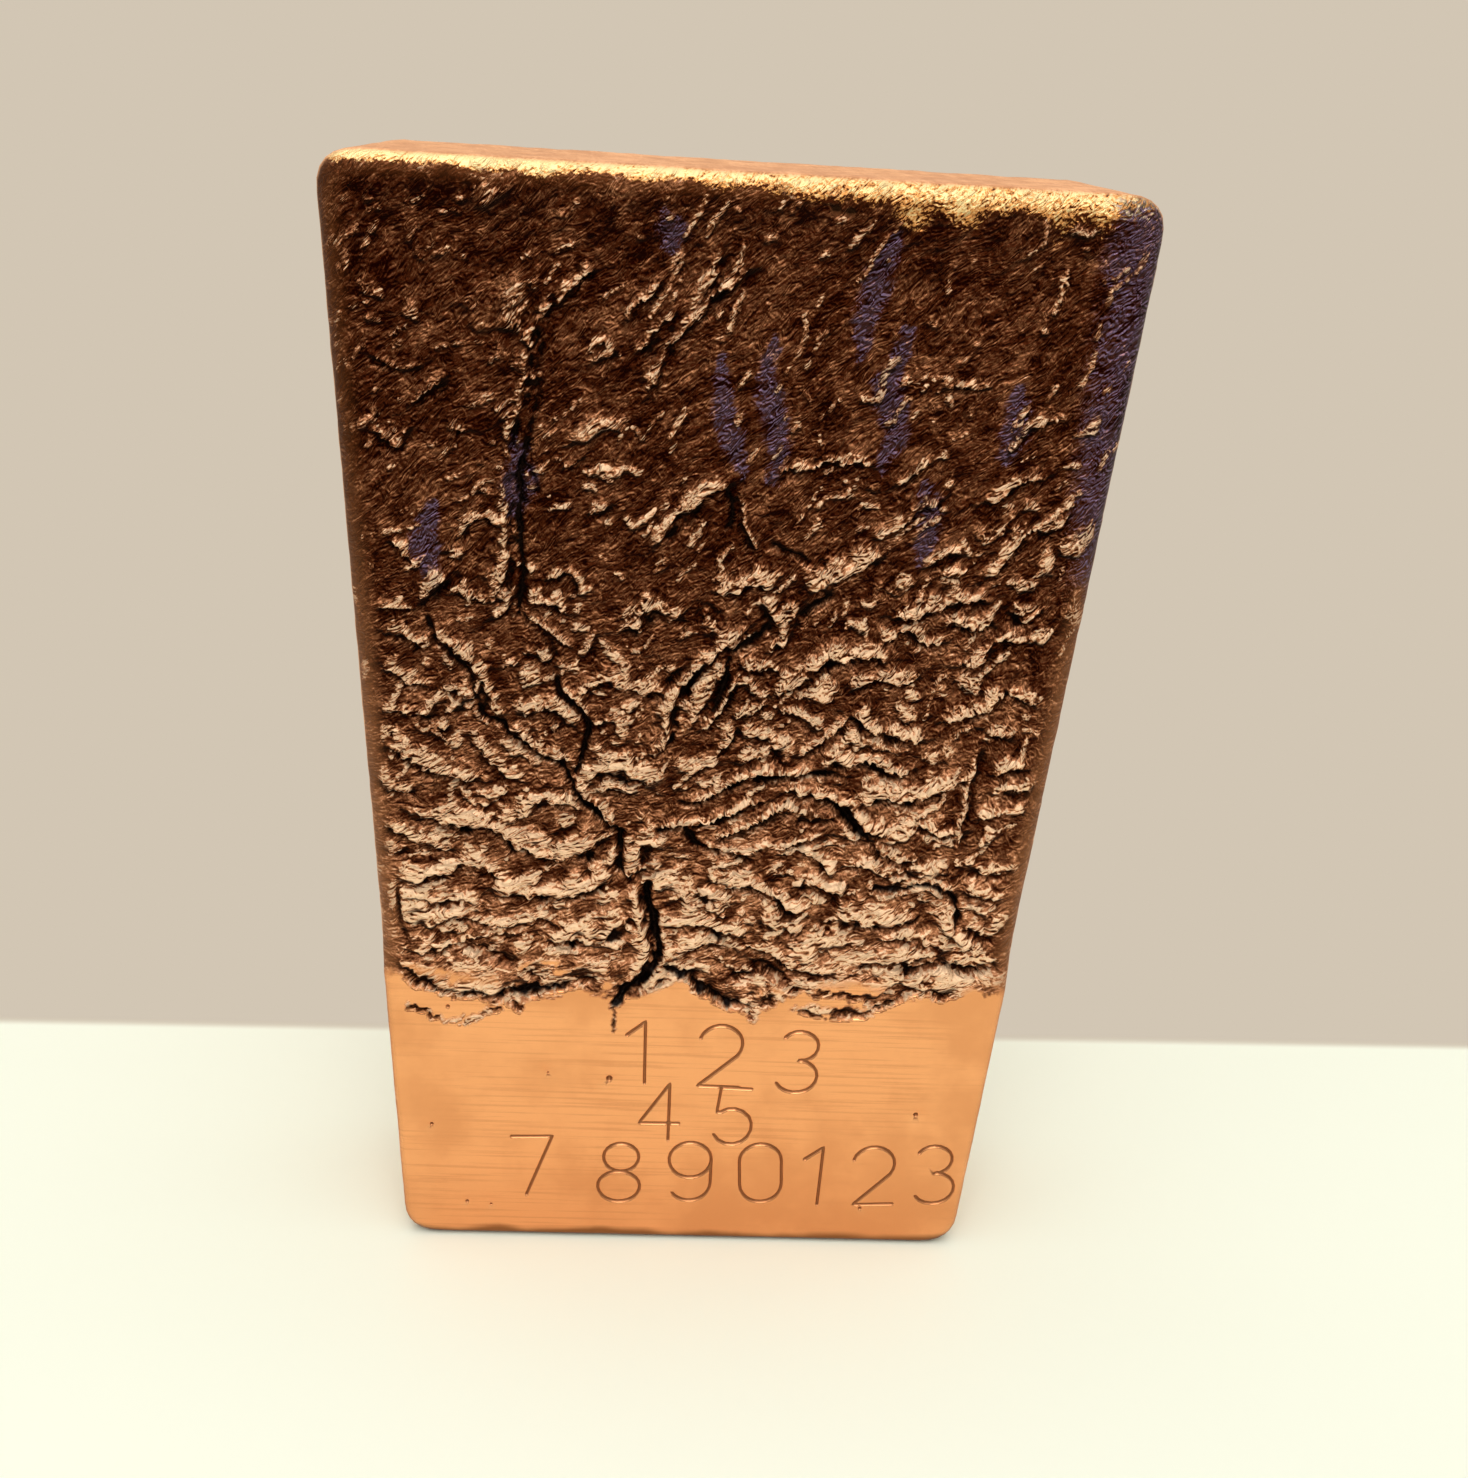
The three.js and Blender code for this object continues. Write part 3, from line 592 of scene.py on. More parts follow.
    (1.2, 1.0, -9, 104, -6.6, 107.8, -3.4, 111, 0.6, 113),
    (0.6, 0.6, 0.9, 112.6, 2.2, 108, 4, 103.6),
    (0.8, 0.8, -11, 121, -10.2, 125.4, -7.6, 129.4, -5.4, 132.4, -3, 135.4, 2, 139.4),
    (0.7, 0.6, -6, 132.8, -4, 137, -2.2, 140.4),
    (0.7, 0.7, -13.4, 131.6, -11.6, 134, -9.6, 136.2),
    (0.7, 0.7, -12, 127.6, -10, 130.4, -8, 133),
    (0.8, 0.6, -17, 126.4, -14.8, 128.4),
    (0.7, 0.7, -38.6, 120.4, -36.4, 122.2, -34, 124),
    (0.8, 0.7, -43.4, 117.6, -40.4, 115.8, -38, 117.4),
    (0.6, 0.6, -43, 126.4, -40, 125, -36.8, 125.6),
    (0.7, 0.6, -34, 118.4, -31.6, 117.6),
    (0.6, 0.6, -20, 113.6, -17.8, 115.4),
    (0.7, 0.7, -16.6, 107.6, -14.6, 109.6),
    (0.9, 0.8, -33.4, 104.6, -30.4, 107, -27.6, 106.4),
))

# Smooth runs of painted bluish reflection on the skin.
BLUE_SHEENS: tuple[tuple[Point, ...], ...] = (
    ((17.5, 144), (16, 139), (15, 134), (14.5, 129)),
    ((20, 132), (18.5, 125.5), (19.5, 120), (18.5, 115)),
    ((4, 130), (4, 124), (5.5, 118), (5.5, 113)),
    ((-2, 128), (-1, 121), (1.5, 114)),
    ((-26, 117), (-25.5, 112), (-26, 107)),
    ((34, 126), (34.5, 121), (33.5, 117)),
    ((24, 114), (25, 109), (24, 104)),
    ((-36, 108), (-37, 103), (-35, 98)),
    ((-9, 144), (-8, 140)),
)


# Punched digits


def arc(centre: Point, radii: Point, start: float, end: float, stations: int = 12) -> list[Point]:
    """Points on an arc.

    Args:
        centre: Its centre, in the digit's cell.
        radii: Its radii across and up.
        start: First angle in degrees, from the right and counter-clockwise.
        end: Last angle.
        stations: Number of stretches.

    Returns:
        The points.
    """
    angles = np.radians(np.linspace(start, end, stations + 1))
    return [(centre[0] + radii[0] * math.cos(a), centre[1] + radii[1] * math.sin(a)) for a in angles]


def digit_strokes(digit: int) -> list[list[Point]]:
    """Single-line strokes of a plain digit in a cell 0.6 wide and 1 high.

    Args:
        digit: One of the digits that the bar carries.

    Returns:
        Its strokes as lists of points.
    """
    top, bottom, bowl = (0.3, 0.7), (0.3, 0.3), (0.3, 0.3)
    strokes = {
        0: [arc(top, bowl, 0, 180) + arc(bottom, bowl, 180, 360) + [(0.6, 0.7)]],
        1: [[(0.1, 0.78), (0.36, 1.0), (0.36, 0.0)]],
        2: [arc(top, bowl, 165, -35) + [(0.02, 0.0), (0.6, 0.0)]],
        3: [arc((0.28, 0.76), (0.26, 0.24), 150, -90) + arc((0.28, 0.27), (0.3, 0.27), 80, -150)],
        4: [[(0.44, 0.0), (0.44, 1.0), (0.0, 0.3), (0.6, 0.3)]],
        5: [[(0.54, 1.0), (0.08, 1.0), (0.05, 0.56)] + arc((0.29, 0.32), (0.3, 0.32), 130, -150)],
        7: [[(0.0, 1.0), (0.58, 1.0), (0.2, 0.0)]],
        8: [arc((0.3, 0.76), (0.25, 0.24), -90, 270, 20), arc((0.3, 0.26), (0.3, 0.26), -90, 270, 22)],
        9: [arc(top, bowl, 280, 640, 24), [(0.6, 0.7)] + arc(bottom, bowl, 0, -145)],
    }
    return strokes[digit]


def densify(points: np.ndarray, step: float) -> np.ndarray:
    """Splits straight stretches.

    Args:
        points: The points that the stretches join.
        step: About the furthest that two points may be apart.

    Returns:
        The points with new ones between them.
    """
    pieces = []
    for start, end in zip(points, points[1:]):
        count = max(1, int(round(np.linalg.norm(end - start) / step)))
        pieces.append(np.linspace(start, end, count, endpoint=False))
    return np.vstack(pieces + [points[-1:]])


@dataclass(frozen=True)
class Punch:
    """One digit struck into the land with a hand punch. Places are in millimetres."""

    digit: int
    left: float
    foot: float
    tilt: float
    height: float = 10.0
    step: float = 0.28

    def strokes(self) -> list[np.ndarray]:
        """Strikes the digit.

        Returns:
            Its strokes on the pour face.
        """
        lean = math.radians(self.tilt)
        turn = np.array([[math.cos(lean), math.sin(lean)], [-math.sin(lean), math.cos(lean)]])
        return [
            densify(np.array(stroke) * self.height @ turn + (self.left, self.foot), self.step)
            for stroke in digit_strokes(self.digit)
        ]


PUNCHES: tuple[Punch, ...] = (
    Punch(1, -10.2, 26.6, 1.5),
    Punch(2, 0.6, 26.5, -1.0),
    Punch(3, 11.5, 26.0, -3.0),
    Punch(4, -7.0, 17.2, 1.0, 9.4),
    Punch(5, 3.2, 16.9, -1.5, 9.4),
    Punch(7, -24.6, 7.2, 2.0),
    Punch(8, -12.6, 6.6, -2.0),
    Punch(9, -2.4, 6.9, 1.0),
    Punch(0, 8.0, 6.8, 4.0),
    Punch(1, 15.6, 6.7, -1.0),
    Punch(2, 24.2, 6.8, 3.0),
    Punch(3, 33.2, 7.2, 4.0),
)

# Gas pinholes in the land and the head edge: across, up and radius.
PINHOLES: tuple[Triple, ...] = (
    (-33.8, 38.2, 0.32), (-33.0, 39.6, 0.45), (-11.5, 27.3, 0.5), (32.0, 22.6, 0.4),
    (-36.0, 19.0, 0.3), (25.5, 6.2, 0.3), (-31.0, 5.9, 0.3), (-27.6, 5.5, 0.22),
    (-20.0, 28.0, 0.2), (10.2, 145.6, 0.6), (11.9, 145.4, 0.6),
)


# The casting


@dataclass(frozen=True)
class Mould:
    """The open mould's inside, in millimetres and degrees."""

    length: float = 149.4
    foot_width: float = 79.6
    head_width: float = 99.1
    thickness: float = 27.2
    side_draft: float = 8.0
    head_draft: float = 3.0
    foot_draft: float = 1.5
    corner_radius: float = 5.0
    corner_run: float = 7.8
    mould_edge: float = 3.5
    skin_edge: float = 2.8
    land_edge: float = 1.2
    land_height: float = 42.0
    land_blend: float = 9.0

    def half_width(self, up: np.ndarray) -> np.ndarray:
        """Half the pour face's width at a height above its foot edge."""
        return (self.foot_width + (self.head_width - self.foot_width) * up / self.length) / 2.0

    def pour_edge(self, up: np.ndarray) -> np.ndarray:
        """Radius of the pour edge: crisp beside the land, full where the skin is left."""
        skin = smoothstep(up, self.land_height, self.land_height + self.land_blend)
        return self.land_edge + (self.skin_edge - self.land_edge) * skin

    def inside(self, places: np.ndarray) -> np.ndarray:
        """Distance of places from the outline, positive inside it.

        Args:
            places: Places on the pour face.

        Returns:
            The distances.
        """
        slope = math.atan((self.head_width - self.foot_width) / 2.0 / self.length)
        across, up = np.abs(places[:, 0]), places[:, 1]
        side = (self.half_width(up) - across) * math.cos(slope)
        end = np.minimum(up, self.length - up)
        radius = self.corner_radius
        short_side = np.clip(radius - side, 0.0, None)
        short_end = np.clip(radius - end, 0.0, None)
        in_corner = (short_side > 0.0) & (short_end > 0.0)
        rounded = radius - np.hypot(short_side, short_end)
        return np.where(in_corner, rounded, np.minimum(side, end))

    def outline(self, step: float) -> np.ndarray:
        """The outline's points, counter-clockwise from the foot's left corner.

        Args:
            step: Spacing of the points.

        Returns:
            The points, without a repeat of the first.
        """
        foot, head = self.foot_width / 2.0, self.head_width / 2.0
        corners = np.array([(-foot, 0), (foot, 0), (head, self.length), (-head, self.length)])
        bends: list[np.ndarray] = []
        for index, corner in enumerate(corners):
            before = corners[index - 1] - corner
            after = corners[(index + 1) % 4] - corner
            before = before / np.linalg.norm(before)
            after = after / np.linalg.norm(after)
            setback = self.corner_radius / math.tan(math.acos(float(before @ after)) / 2.0)
            t = np.linspace(0.0, 1.0, max(4, int(self.corner_run / step)))[:, None]
            start, end = corner + before * setback, corner + after * setback
            bends.append((1 - t) ** 2 * start + 2 * t * (1 - t) * corner + t**2 * end)
        closed = []
        for bend, following in zip(bends, bends[1:] + bends[:1]):
            count = int(np.linalg.norm(following[0] - bend[-1]) / step)
            closed += [bend, np.linspace(bend[-1], following[0], count, endpoint=False)[1:]]
        return np.vstack(closed)

    def standing(self, box_low: Vector) -> Matrix:
        """Where the casting frame stands in the part's frame.

        Args:
            box_low: The lowest corner of the CAD solid's box, in metres.

        Returns:
            The matrix from casting millimetres to the part's metres.
        """
        turn = Matrix.Rotation(math.pi / 2.0 - math.radians(self.foot_draft), 4, "X")
        toe = turn @ Vector((0.0, self.land_edge, self.thickness))
        rest = turn @ Vector((0.0, 0.0, self.thickness - self.land_edge))
        lift = Matrix.Translation((0.0, box_low.y / MM - toe.y, -rest.z))
        return Matrix.Diagonal((MM, MM, MM, 1.0)) @ lift @ turn


@dataclass(frozen=True)
class Casting:
    """The bar's whole skin as one closed mesh, built on the casting frame in millimetres.

    A span is where something starts and where it is complete, across or up the pour face. A layer
    is a noise's weight, cell size and place in depth.
    """

    mould: Mould = Mould()
    skin_pitch: float = 0.385
    land_pitch: float = 2.4
    land_from: float = 1.5
    back_pitch: float = 5.0
    back_from: float = 6.0
    back_inset: float = 5.5
    outline_step: float = 1.0
    dense_from: float = 34.0
    pour_rings: int = 8
    wall_rings: int = 8
    back_rings: int = 5
    land_proud: float = 0.75
    rim_sink: float = 0.3
    dish_sink: float = 0.85
    stroke_half_width: float = 0.30
    stroke_depth: float = 0.34
    stroke_rows: tuple[float, ...] = (0.0, 0.45, 0.9, 1.2, 1.7)
    stroke_slack: float = 0.03
    station_gap: float = 0.09
    sparse_clear: float = 1.0
    dense_clear: float = 0.75
    burr: float = 0.015
    pin_rings: tuple[float, ...] = (0.5, 0.85, 1.15)
    pin_sides: int = 8
    pin_clear: float = 1.35
    fan_above: float = 30.0
    fan_below: float = 80.0
    fan_left: Point = (-22.0, -6.0)
    fan_level: Point = (22.0, 60.0)
    calm_layers: tuple[Triple, ...] = ((0.55, 3.4, 5), (0.14, 1.3, 9))
    bent_layers: tuple[Triple, ...] = ((0.55, 1.7, 9), (0.6, 0.8, 21))
    width_layers: tuple[Triple, ...] = ((1.0, 2.4, 35), (0.5, 1.1, 33))
    uneven_layers: tuple[Triple, ...] = ((0.9, 2.2, 15), (0.5, 0.9, 17))
    torn_layers: tuple[Triple, ...] = ((0.22, 0.8, 51),)
    rugged_layers: tuple[Triple, ...] = ((0.7, 1.8, 61), (0.35, 0.8, 63))
    broken_layers: tuple[Triple, ...] = ((0.9, 1.9, 41),)
    ragged_layers: tuple[Triple, ...] = ((2.2, 9.0, 2), (1.2, 3.0, 3))
    tongue_layers: tuple[Triple, ...] = ((1.6, 4.0, 12),)
    narrow_span: Point = (96.0, 116.0)
    crevice_reach: Point = (5.0, 1.5)
    # Reach and swell of the painted bluish sheen along its routes.
    sheen_reach: float = 1.0
    sheen_swell: float = 1.7
    bare_patch: Point = (-22.0, 45.5)
    bare_stretch: float = 1.9
    bare_reach: float = 5.5
    bare_rise: float = 4.0
    dish_span: Point = (0.0, 13.0)
    skin_span: Point = (-5.0, 9.0)
    border_span: Point = (0.5, 6.0)
    crowded_up_to: float = 92.0
    crowded_more: float = 24.0
    crowded_right: Point = (8.0, 30.0)
    crowded_foot: Point = (56.0, 70.0)
    clear_span: Point = (52.0, 68.0)
    # Where a painted bluish sheen lies along the upper right edge.
    sheen_across: Point = (40.0, 47.0)
    sheen_up: Point = (96.0, 112.0)
    rim_right: Point = (-12.0, 24.0)
    margin_span: Point = (0.4, 3.8)
    noise_seed: int = 3

    def lattice(self, pitch: float, low: float, high: float) -> np.ndarray:
        """Places on a triangular lattice over the pour face.

        Args:
            pitch: Spacing of the places.
            low: Lowest place up the face.
            high: Highest place.

        Returns:
            The places, also outside the outline.
        """
        half = self.mould.head_width / 2.0
        places = []
        for index, up in enumerate(np.arange(low, high, pitch * math.sqrt(0.75))):
            across = np.arange(-half, half, pitch) + pitch / 2.0 * (index % 2)
            places.append(np.column_stack([across, np.full(len(across), up)]))
        return np.vstack(places)

    def strokes(self) -> list[np.ndarray]:
        """The strokes of all punched digits."""
        return [stroke for punch in PUNCHES for stroke in punch.strokes()]

    def stations(self, routes: list[np.ndarray]) -> np.ndarray:
        """Rows of places beside each stroke and round its ends, so that the facets follow it.

        Args:
            routes: The strokes.

        Returns:
            Places whose distance to all strokes is that of their own row.
        """
        half = self.stroke_half_width
        found = []
        for route in routes:
            run = np.gradient(route, axis=0)
            run /= np.linalg.norm(run, axis=1)[:, None]
            normal = np.column_stack([-run[:, 1], run[:, 0]])
            for row in self.stroke_rows:
                for side in (1.0, -1.0) if row else (1.0,):
                    places = route + side * (row * half) * normal
                    found.append(places[gap_to(routes, places) > row * half - self.stroke_slack])
            for end, outward in ((route[0], -run[0]), (route[-1], run[-1])):
                cap = np.array([end + outward * row * half for row in self.stroke_rows[1:]])
                least = np.array(self.stroke_rows[1:]) * half - self.stroke_slack
                found.append(cap[gap_to(routes, cap) > least])
        return np.vstack(found)

    def pinhole_places(self) -> np.ndarray:
        """Rings of places round each pinhole.

        Returns:
            The places.
        """
        places = []
        for across, up, radius in PINHOLES:
            places.append([[across, up]])
            for share in self.pin_rings:
                turn = np.linspace(0.0, 2 * np.pi, self.pin_sides + 1)[:-1] + share
                ring = np.column_stack([np.cos(turn), np.sin(turn)]) * radius * share
                places.append(ring + (across, up))
        return np.vstack(places)

    def face_places(self, border: np.ndarray) -> np.ndarray:
        """All places that the pour face's facets join.

        Args:
            border: The flat face's border, which comes first in the result.

        Returns:
            The places.
        """
        strokes = self.strokes()
        stations = self.stations(strokes)
        cells = np.round(stations / self.station_gap).astype(np.int64)
        stations = stations[np.sort(np.unique(cells, axis=0, return_index=True)[1])]
        dense = self.lattice(self.skin_pitch, self.dense_from, self.mould.length)
        sparse = self.lattice(self.land_pitch, self.land_from, self.dense_from - 0.5)
        sparse = sparse[gap_to(strokes, sparse) > self.sparse_clear]
        dense = dense[gap_to(strokes, dense) > self.dense_clear]
        lattice = np.vstack([dense, sparse])
        for across, up, radius in PINHOLES:
            gap = np.hypot(lattice[:, 0] - across, lattice[:, 1] - up)
            lattice = lattice[gap > self.pin_clear * radius]
        edge = self.mould.pour_edge(lattice[:, 1])
        inner = self.mould.inside(lattice) > edge + 0.6 * self.skin_pitch
        return np.vstack([border, stations, self.pinhole_places(), lattice[inner]])

    def ring(self, outline: np.ndarray, depth: np.ndarray, drawn_in: Any) -> np.ndarray:
        """One ring of the shell.

        Args:
            outline: The outline's points.
            depth: Depth of each point behind the pour face.
            drawn_in: How far the rounded edge draws the points in.

        Returns:
            The ring's points in three dimensions.
        """
        mould = self.mould
        wall = np.clip(depth - mould.pour_edge(outline[:, 1]), 0.0, None)
        side, foot, head = (
            wall * math.tan(math.radians(draft)) + drawn_in
            for draft in (mould.side_draft, mould.foot_draft, mould.head_draft)
        )
        half = mould.half_width(outline[:, 1])
        across = outline[:, 0] * (half - side) / half
        up = foot + outline[:, 1] / mould.length * (mould.length - foot - head)
        return np.column_stack([across, up, mould.thickness - depth])

    def rings(self, outline: np.ndarray) -> list[np.ndarray]:
        """All rings from the pour face's border to the mould face's border.

        Args:
            outline: The outline's points.

        Returns:
            The rings.
        """
        mould = self.mould
        radius = mould.pour_edge(outline[:, 1])
        found = []
        for index in range(self.pour_rings):
            turn = math.pi / 2.0 * index / self.pour_rings
            sunk, drawn = radius * (1 - math.cos(turn)), radius * (1 - math.sin(turn))
            found.append(self.ring(outline, sunk, drawn))
        back_start = mould.thickness - mould.mould_edge
        for share in np.linspace(0.0, 1.0, self.wall_rings):
            found.append(self.ring(outline, radius + share * (back_start - radius), 0.0))
        for index in range(1, self.back_rings + 1):
            turn = math.pi / 2.0 * index / self.back_rings
            depth = np.full(len(outline), back_start + mould.mould_edge * math.sin(turn))
            found.append(self.ring(outline, depth, mould.mould_edge * (1 - math.cos(turn))))
        return found

    def patch(self, places: np.ndarray, border: int) -> tuple[np.ndarray, np.ndarray]:
        """Joins places into facets inside their border.

        Args:
            places: The places, of which the first ones are the border in order.
            border: Number of places in the border.

        Returns:
            The places and the triangles, facing up.
        """
        edges = [(i, (i + 1) % border) for i in range(border)]
        vertices = [Vector(p) for p in places.tolist()]
        points, _, faces, _, _, _ = delaunay_2d_cdt(vertices, edges, [], 1, 1e-6)
        if len(points) != len(places):
            LOG.warning("the facets gained or lost %d places", len(points) - len(places))
        return np.array([p[:] for p in points]), np.array([f[:] for f in faces])

    def wander(self, start: Any, places: np.ndarray, *layers: Triple) -> np.ndarray:
        """Adds smooth vector noises over the pour face to a start.

        Args:
            start: What they are added to: a number, or two for each place.
            places: The places.
            layers: Each noise's weight, cell size in millimetres and place in depth.

        Returns:
            Two components for each place.
        """
        for weight, scale, depth in layers:
            noise.seed_set(self.noise_seed)
            cells = (Vector((x / scale, y / scale, depth)) for x, y in places)
            start = start + weight * np.array([noise.noise_vector(cell)[:2] for cell in cells])
        return start

    def flow(self, places: np.ndarray) -> tuple[np.ndarray, np.ndarray]:
        """Coordinates along and across the folds, which fan out from the star.

        Args:
            places: Places on the pour face.

        Returns:
            The distance along the folds and the one across them.
        """
        along = places[:, 0] - STAR_CENTRE[0]
        rise = places[:, 1] - STAR_CENTRE[1]
        reach = np.where(rise > 0.0, self.fan_above, self.fan_below)
        fanned = rise / (1.0 + np.abs(along) / reach) ** 0.8
        left = 1.0 - smoothstep(places[:, 0], *self.fan_left)
        level = smoothstep(rise, *self.fan_level) * (0.35 + 0.65 * left)
        return along, fanned + (rise - fanned) * level

    def routed(self, places: np.ndarray) -> SimpleNamespace:
        """Works out all furrows, crevices, folds and painted bluish sheens that follow a route.

        Args:
            places: Places on the pour face.

        Returns:
            For each place: the depth it is sunk by, the height it is raised by, how near a crest
            it is, how clear of small folds it is kept, how much painted bluish sheen it has, and how far
            the land dips at its upper edge.
        """
        calm = self.wander(places, places, *self.calm_layers)
        across, up = places.T
        slanted = np.column_stack([across - 0.9 * up, 0.3 * (across + up)])
        bent = self.wander(calm, slanted, *self.bent_layers)
        tops = 1.0 - 0.35 * smoothstep(up, *self.narrow_span)
        width = self.wander(0.95, places, *self.width_layers)[:, 0]
        width = np.clip(width, 0.4, 1.7) * tops
        uneven = self.wander(0.85, places, *self.uneven_layers)[:, 0]
        uneven = np.clip(uneven, 0.3, 1.6)
        torn = self.wander(calm, places, *self.torn_layers)
        rugged = self.wander(torn, places, *self.rugged_layers)
        broken = np.clip(self.wander(0.85, places, *self.broken_layers)[:, 0], 0.35, 1.0)
        sink, rise, crest, clear, smear, dip = np.zeros((6, len(places)))
        for crack in STAR:
            sink = np.maximum(sink, crack.relief(torn, uneven))
        for crack in LAND_EDGE:
            sink = np.maximum(sink, crack.relief(rugged, uneven))
            near = nearest_on(smooth_route(crack.route), bent)
            reach = np.where(near.side > 0.0, *self.crevice_reach) * crack.half_width
            dip = np.maximum(dip, hump(near.distance, reach))
        for ridge in RIDGES:
            fine = ridge.fine
            lift, share, under, near = ridge.relief(calm if fine else bent, tops if fine else width)
            sink = np.maximum(sink, 0.95 * under * uneven)
            rise = np.maximum(rise, lift if fine else lift * (0.5 + 0.5 * broken))
            crest = np.maximum(crest, share**2 if fine else share * broken)
            clear = np.maximum(clear, near)
        for route in BLUE_SHEENS:
            near = nearest_on(smooth_route(route), bent)
            reach = self.sheen_reach + self.sheen_swell * np.sin(np.pi * near.along)
            smear = np.maximum(smear, hump(near.distance, reach))
        return SimpleNamespace(sink=sink, rise=rise, crest=crest, clear=clear, smear=smear, dip=dip)

    def skin_values(self, places: np.ndarray) -> dict[str, np.ndarray]:
        """The level of the skin, what stands on it and what the finish goes by.

        Args:
            places: Places on the pour face.

        Returns:
            Named values for each place.
        """
        mould = self.mould
        routed = self.routed(places)
        across, up = places.T
        inside = mould.inside(places)
        ragged = self.wander(0.0, places, *self.ragged_layers)[:, 0]
        aside = (across - self.bare_patch[0]) / self.bare_stretch
        bare = hump(np.hypot(aside, up - self.bare_patch[1]), self.bare_reach)
        above = up - mould.land_height - ragged + 1.5 - self.bare_rise * bare
        dish = smoothstep(inside, *self.dish_span) * smoothstep(above, -4.0, 30.0)
        skin = -self.rim_sink - self.dish_sink * dish
        level = self.land_proud + (skin - self.land_proud) * smoothstep(above, *self.skin_span)
        level -= routed.dip * smoothstep(above, -11.0, -3.0)
        border = smoothstep(inside, *self.border_span)
        weight = np.maximum(smoothstep(above, -7.0, 2.0), routed.dip) * (0.3 + 0.7 * border)
        top = self.crowded_up_to + self.crowded_more * smoothstep(across, *self.crowded_right)
        cover = 0.03 + 0.36 * (1.0 - smoothstep(up, top - 16.0, top + 12.0))
        cover += 0.20 * (1.0 - smoothstep(up, *self.crowded_foot))
        cover *= 0.35 + 0.65 * border
        clear = routed.clear * (0.25 + 0.35 * smoothstep(up, *self.clear_span))
        # Painted reflection: a bluish sheen along the upper right edge.
        side_sheen = smoothstep(across, *self.sheen_across) * smoothstep(up, *self.sheen_up)
        flow_u, flow_v = self.flow(places)
        # The head edge's band where the finish paints a highlight: wider and more ragged to the right.
        tongue = np.clip(self.wander(0.6, places, *self.tongue_layers)[:, 0], 0.0, None)
        right = smoothstep(across, *self.rim_right)
        depth = 0.45 + 0.45 * tongue + (1.1 + 1.4 * tongue) * right
        return {
            "rim": 1.0 - smoothstep(mould.length - up, 0.3 * depth, 1.6 * depth + 0.5),
            "level": level,
            "sink": routed.sink,
            "rise": routed.rise,
            "crest": routed.crest,
            "fold_weight": weight,
            "cover": cover * (1.0 - clear) - 0.4 * clear,
            "flow_u": flow_u,
            "flow_v": flow_v,
            "smear": np.maximum(routed.smear, side_sheen),
            "margin": 1.0 - smoothstep(inside, *self.margin_span),
        }

    def stamp_depth(self, places: np.ndarray) -> np.ndarray:
        """Depth of the punched strokes and pinholes, less the burr beside a stroke.

        Args:
            places: Places on the pour face.

        Returns:
            The depth at each place.
        """
        depth = np.zeros(len(places))
        rows = np.flatnonzero(places[:, 1] < self.dense_from + 4.0)
        near = gap_to(self.strokes(), places[rows])
        half = self.stroke_half_width
        groove = self.stroke_depth * np.clip(1.0 - near / half, 0.0, 1.0) ** 0.85
        depth[rows] = groove - self.burr * hump(near - 1.2 * half, 0.5 * half)
        for across, up, radius in PINHOLES:
            gap = np.hypot(places[:, 0] - across, places[:, 1] - up) / radius
            depth = np.maximum(depth, 1.1 * radius * np.clip(1.15 - gap, 0.0, 1.0))
        return depth

    def mesh(self) -> bpy.types.Mesh:
        """Builds the shell before its fine relief.

        Returns:
            A closed mesh with the named values that the relief reads, which are 0 behind the
            pour edge.
        """
        outline = self.mould.outline(self.outline_step)
        rings = self.rings(outline)
        count = len(outline)
        face_places, face_tris = self.patch(self.face_places(rings[0][:, :2]), count)
        back_lattice = self.lattice(self.back_pitch, self.back_from, self.mould.length)
        inset = self.mould.mould_edge + self.back_inset
        back_lattice = back_lattice[self.mould.inside(back_lattice) > inset]
        back_places, back_tris = self.patch(np.vstack([rings[-1][:, :2], back_lattice]), count)

        face = np.column_stack([face_places, np.full(len(face_places), self.mould.thickness)])
        back_inner = back_places[count:]
        back_inner = np.column_stack([back_inner, np.zeros(len(back_inner))])
        vertices = np.vstack([face, *rings[1:], back_inner])
        starts = [0] + [len(face) + i * count for i in range(len(rings) - 1)]
        turn = np.arange(count)
        after = (turn + 1) % count
        quads = [
            np.column_stack([upper + turn, lower + turn, lower + after, upper + after])
            for upper, lower in zip(starts, starts[1:])
        ]
        last = starts[-1]
        back = np.where(back_tris < count, back_tris + last, back_tris - count + last + count)
        faces = face_tris.tolist() + np.vstack(quads).tolist() + back[:, ::-1].tolist()

        mesh = bpy.data.meshes.new("ingot_casting")
        mesh.from_pydata(vertices.tolist(), [], faces)
        dressed = len(face) + (self.pour_rings - 1) * count
        values = self.skin_values(vertices[:dressed, :2])
        values["stamp"] = self.stamp_depth(vertices[:dressed, :2])
        turned = np.repeat(np.arange(1, self.pour_rings) / self.pour_rings, count)
        values["front"] = np.concatenate([np.ones(len(face)), 1.0 - turned**2])
        for name, found in values.items():
            whole = np.zeros(len(vertices), dtype=np.float32)
            whole[:dressed] = found
            mesh.attributes.new(name, "FLOAT", "POINT").data.foreach_set("value", whole)
        LOG.info("casting: %d vertices, %d faces", len(vertices), len(faces))
        return mesh


# The skin's fine relief

# How much longer than wide a common wrinkle is.
WORM_STRETCH = 2.7


def worms(bench: Bench, across: Wire, up: Wire, pitch: Any, stretch: float = WORM_STRETCH) -> Wire:
    """Small meandering wrinkles that slant up to the right.

    Args:
        bench: The tree's bench.
        across: Distance across the face.
        up: Distance up the face.
        pitch: Rough spacing of the wrinkles.
        stretch: How much longer than wide they are.

    Returns:
        Their height, from 0 to 1.
    """
    slant = up.ramp(50.0, 105.0) * 0.42 + 0.26
    run = (across * 0.85 + up * slant) / (pitch * stretch * 1.1)
    over = (up * 0.85 - across * slant) / (pitch * 1.1)
    meander = bench.noise(bench.join(run, over, pitch), 1.0, 2.0, 0.5, 1.1)
    return (1.0 - abs(meander - 0.5) * 6.5).greatest(0.0)


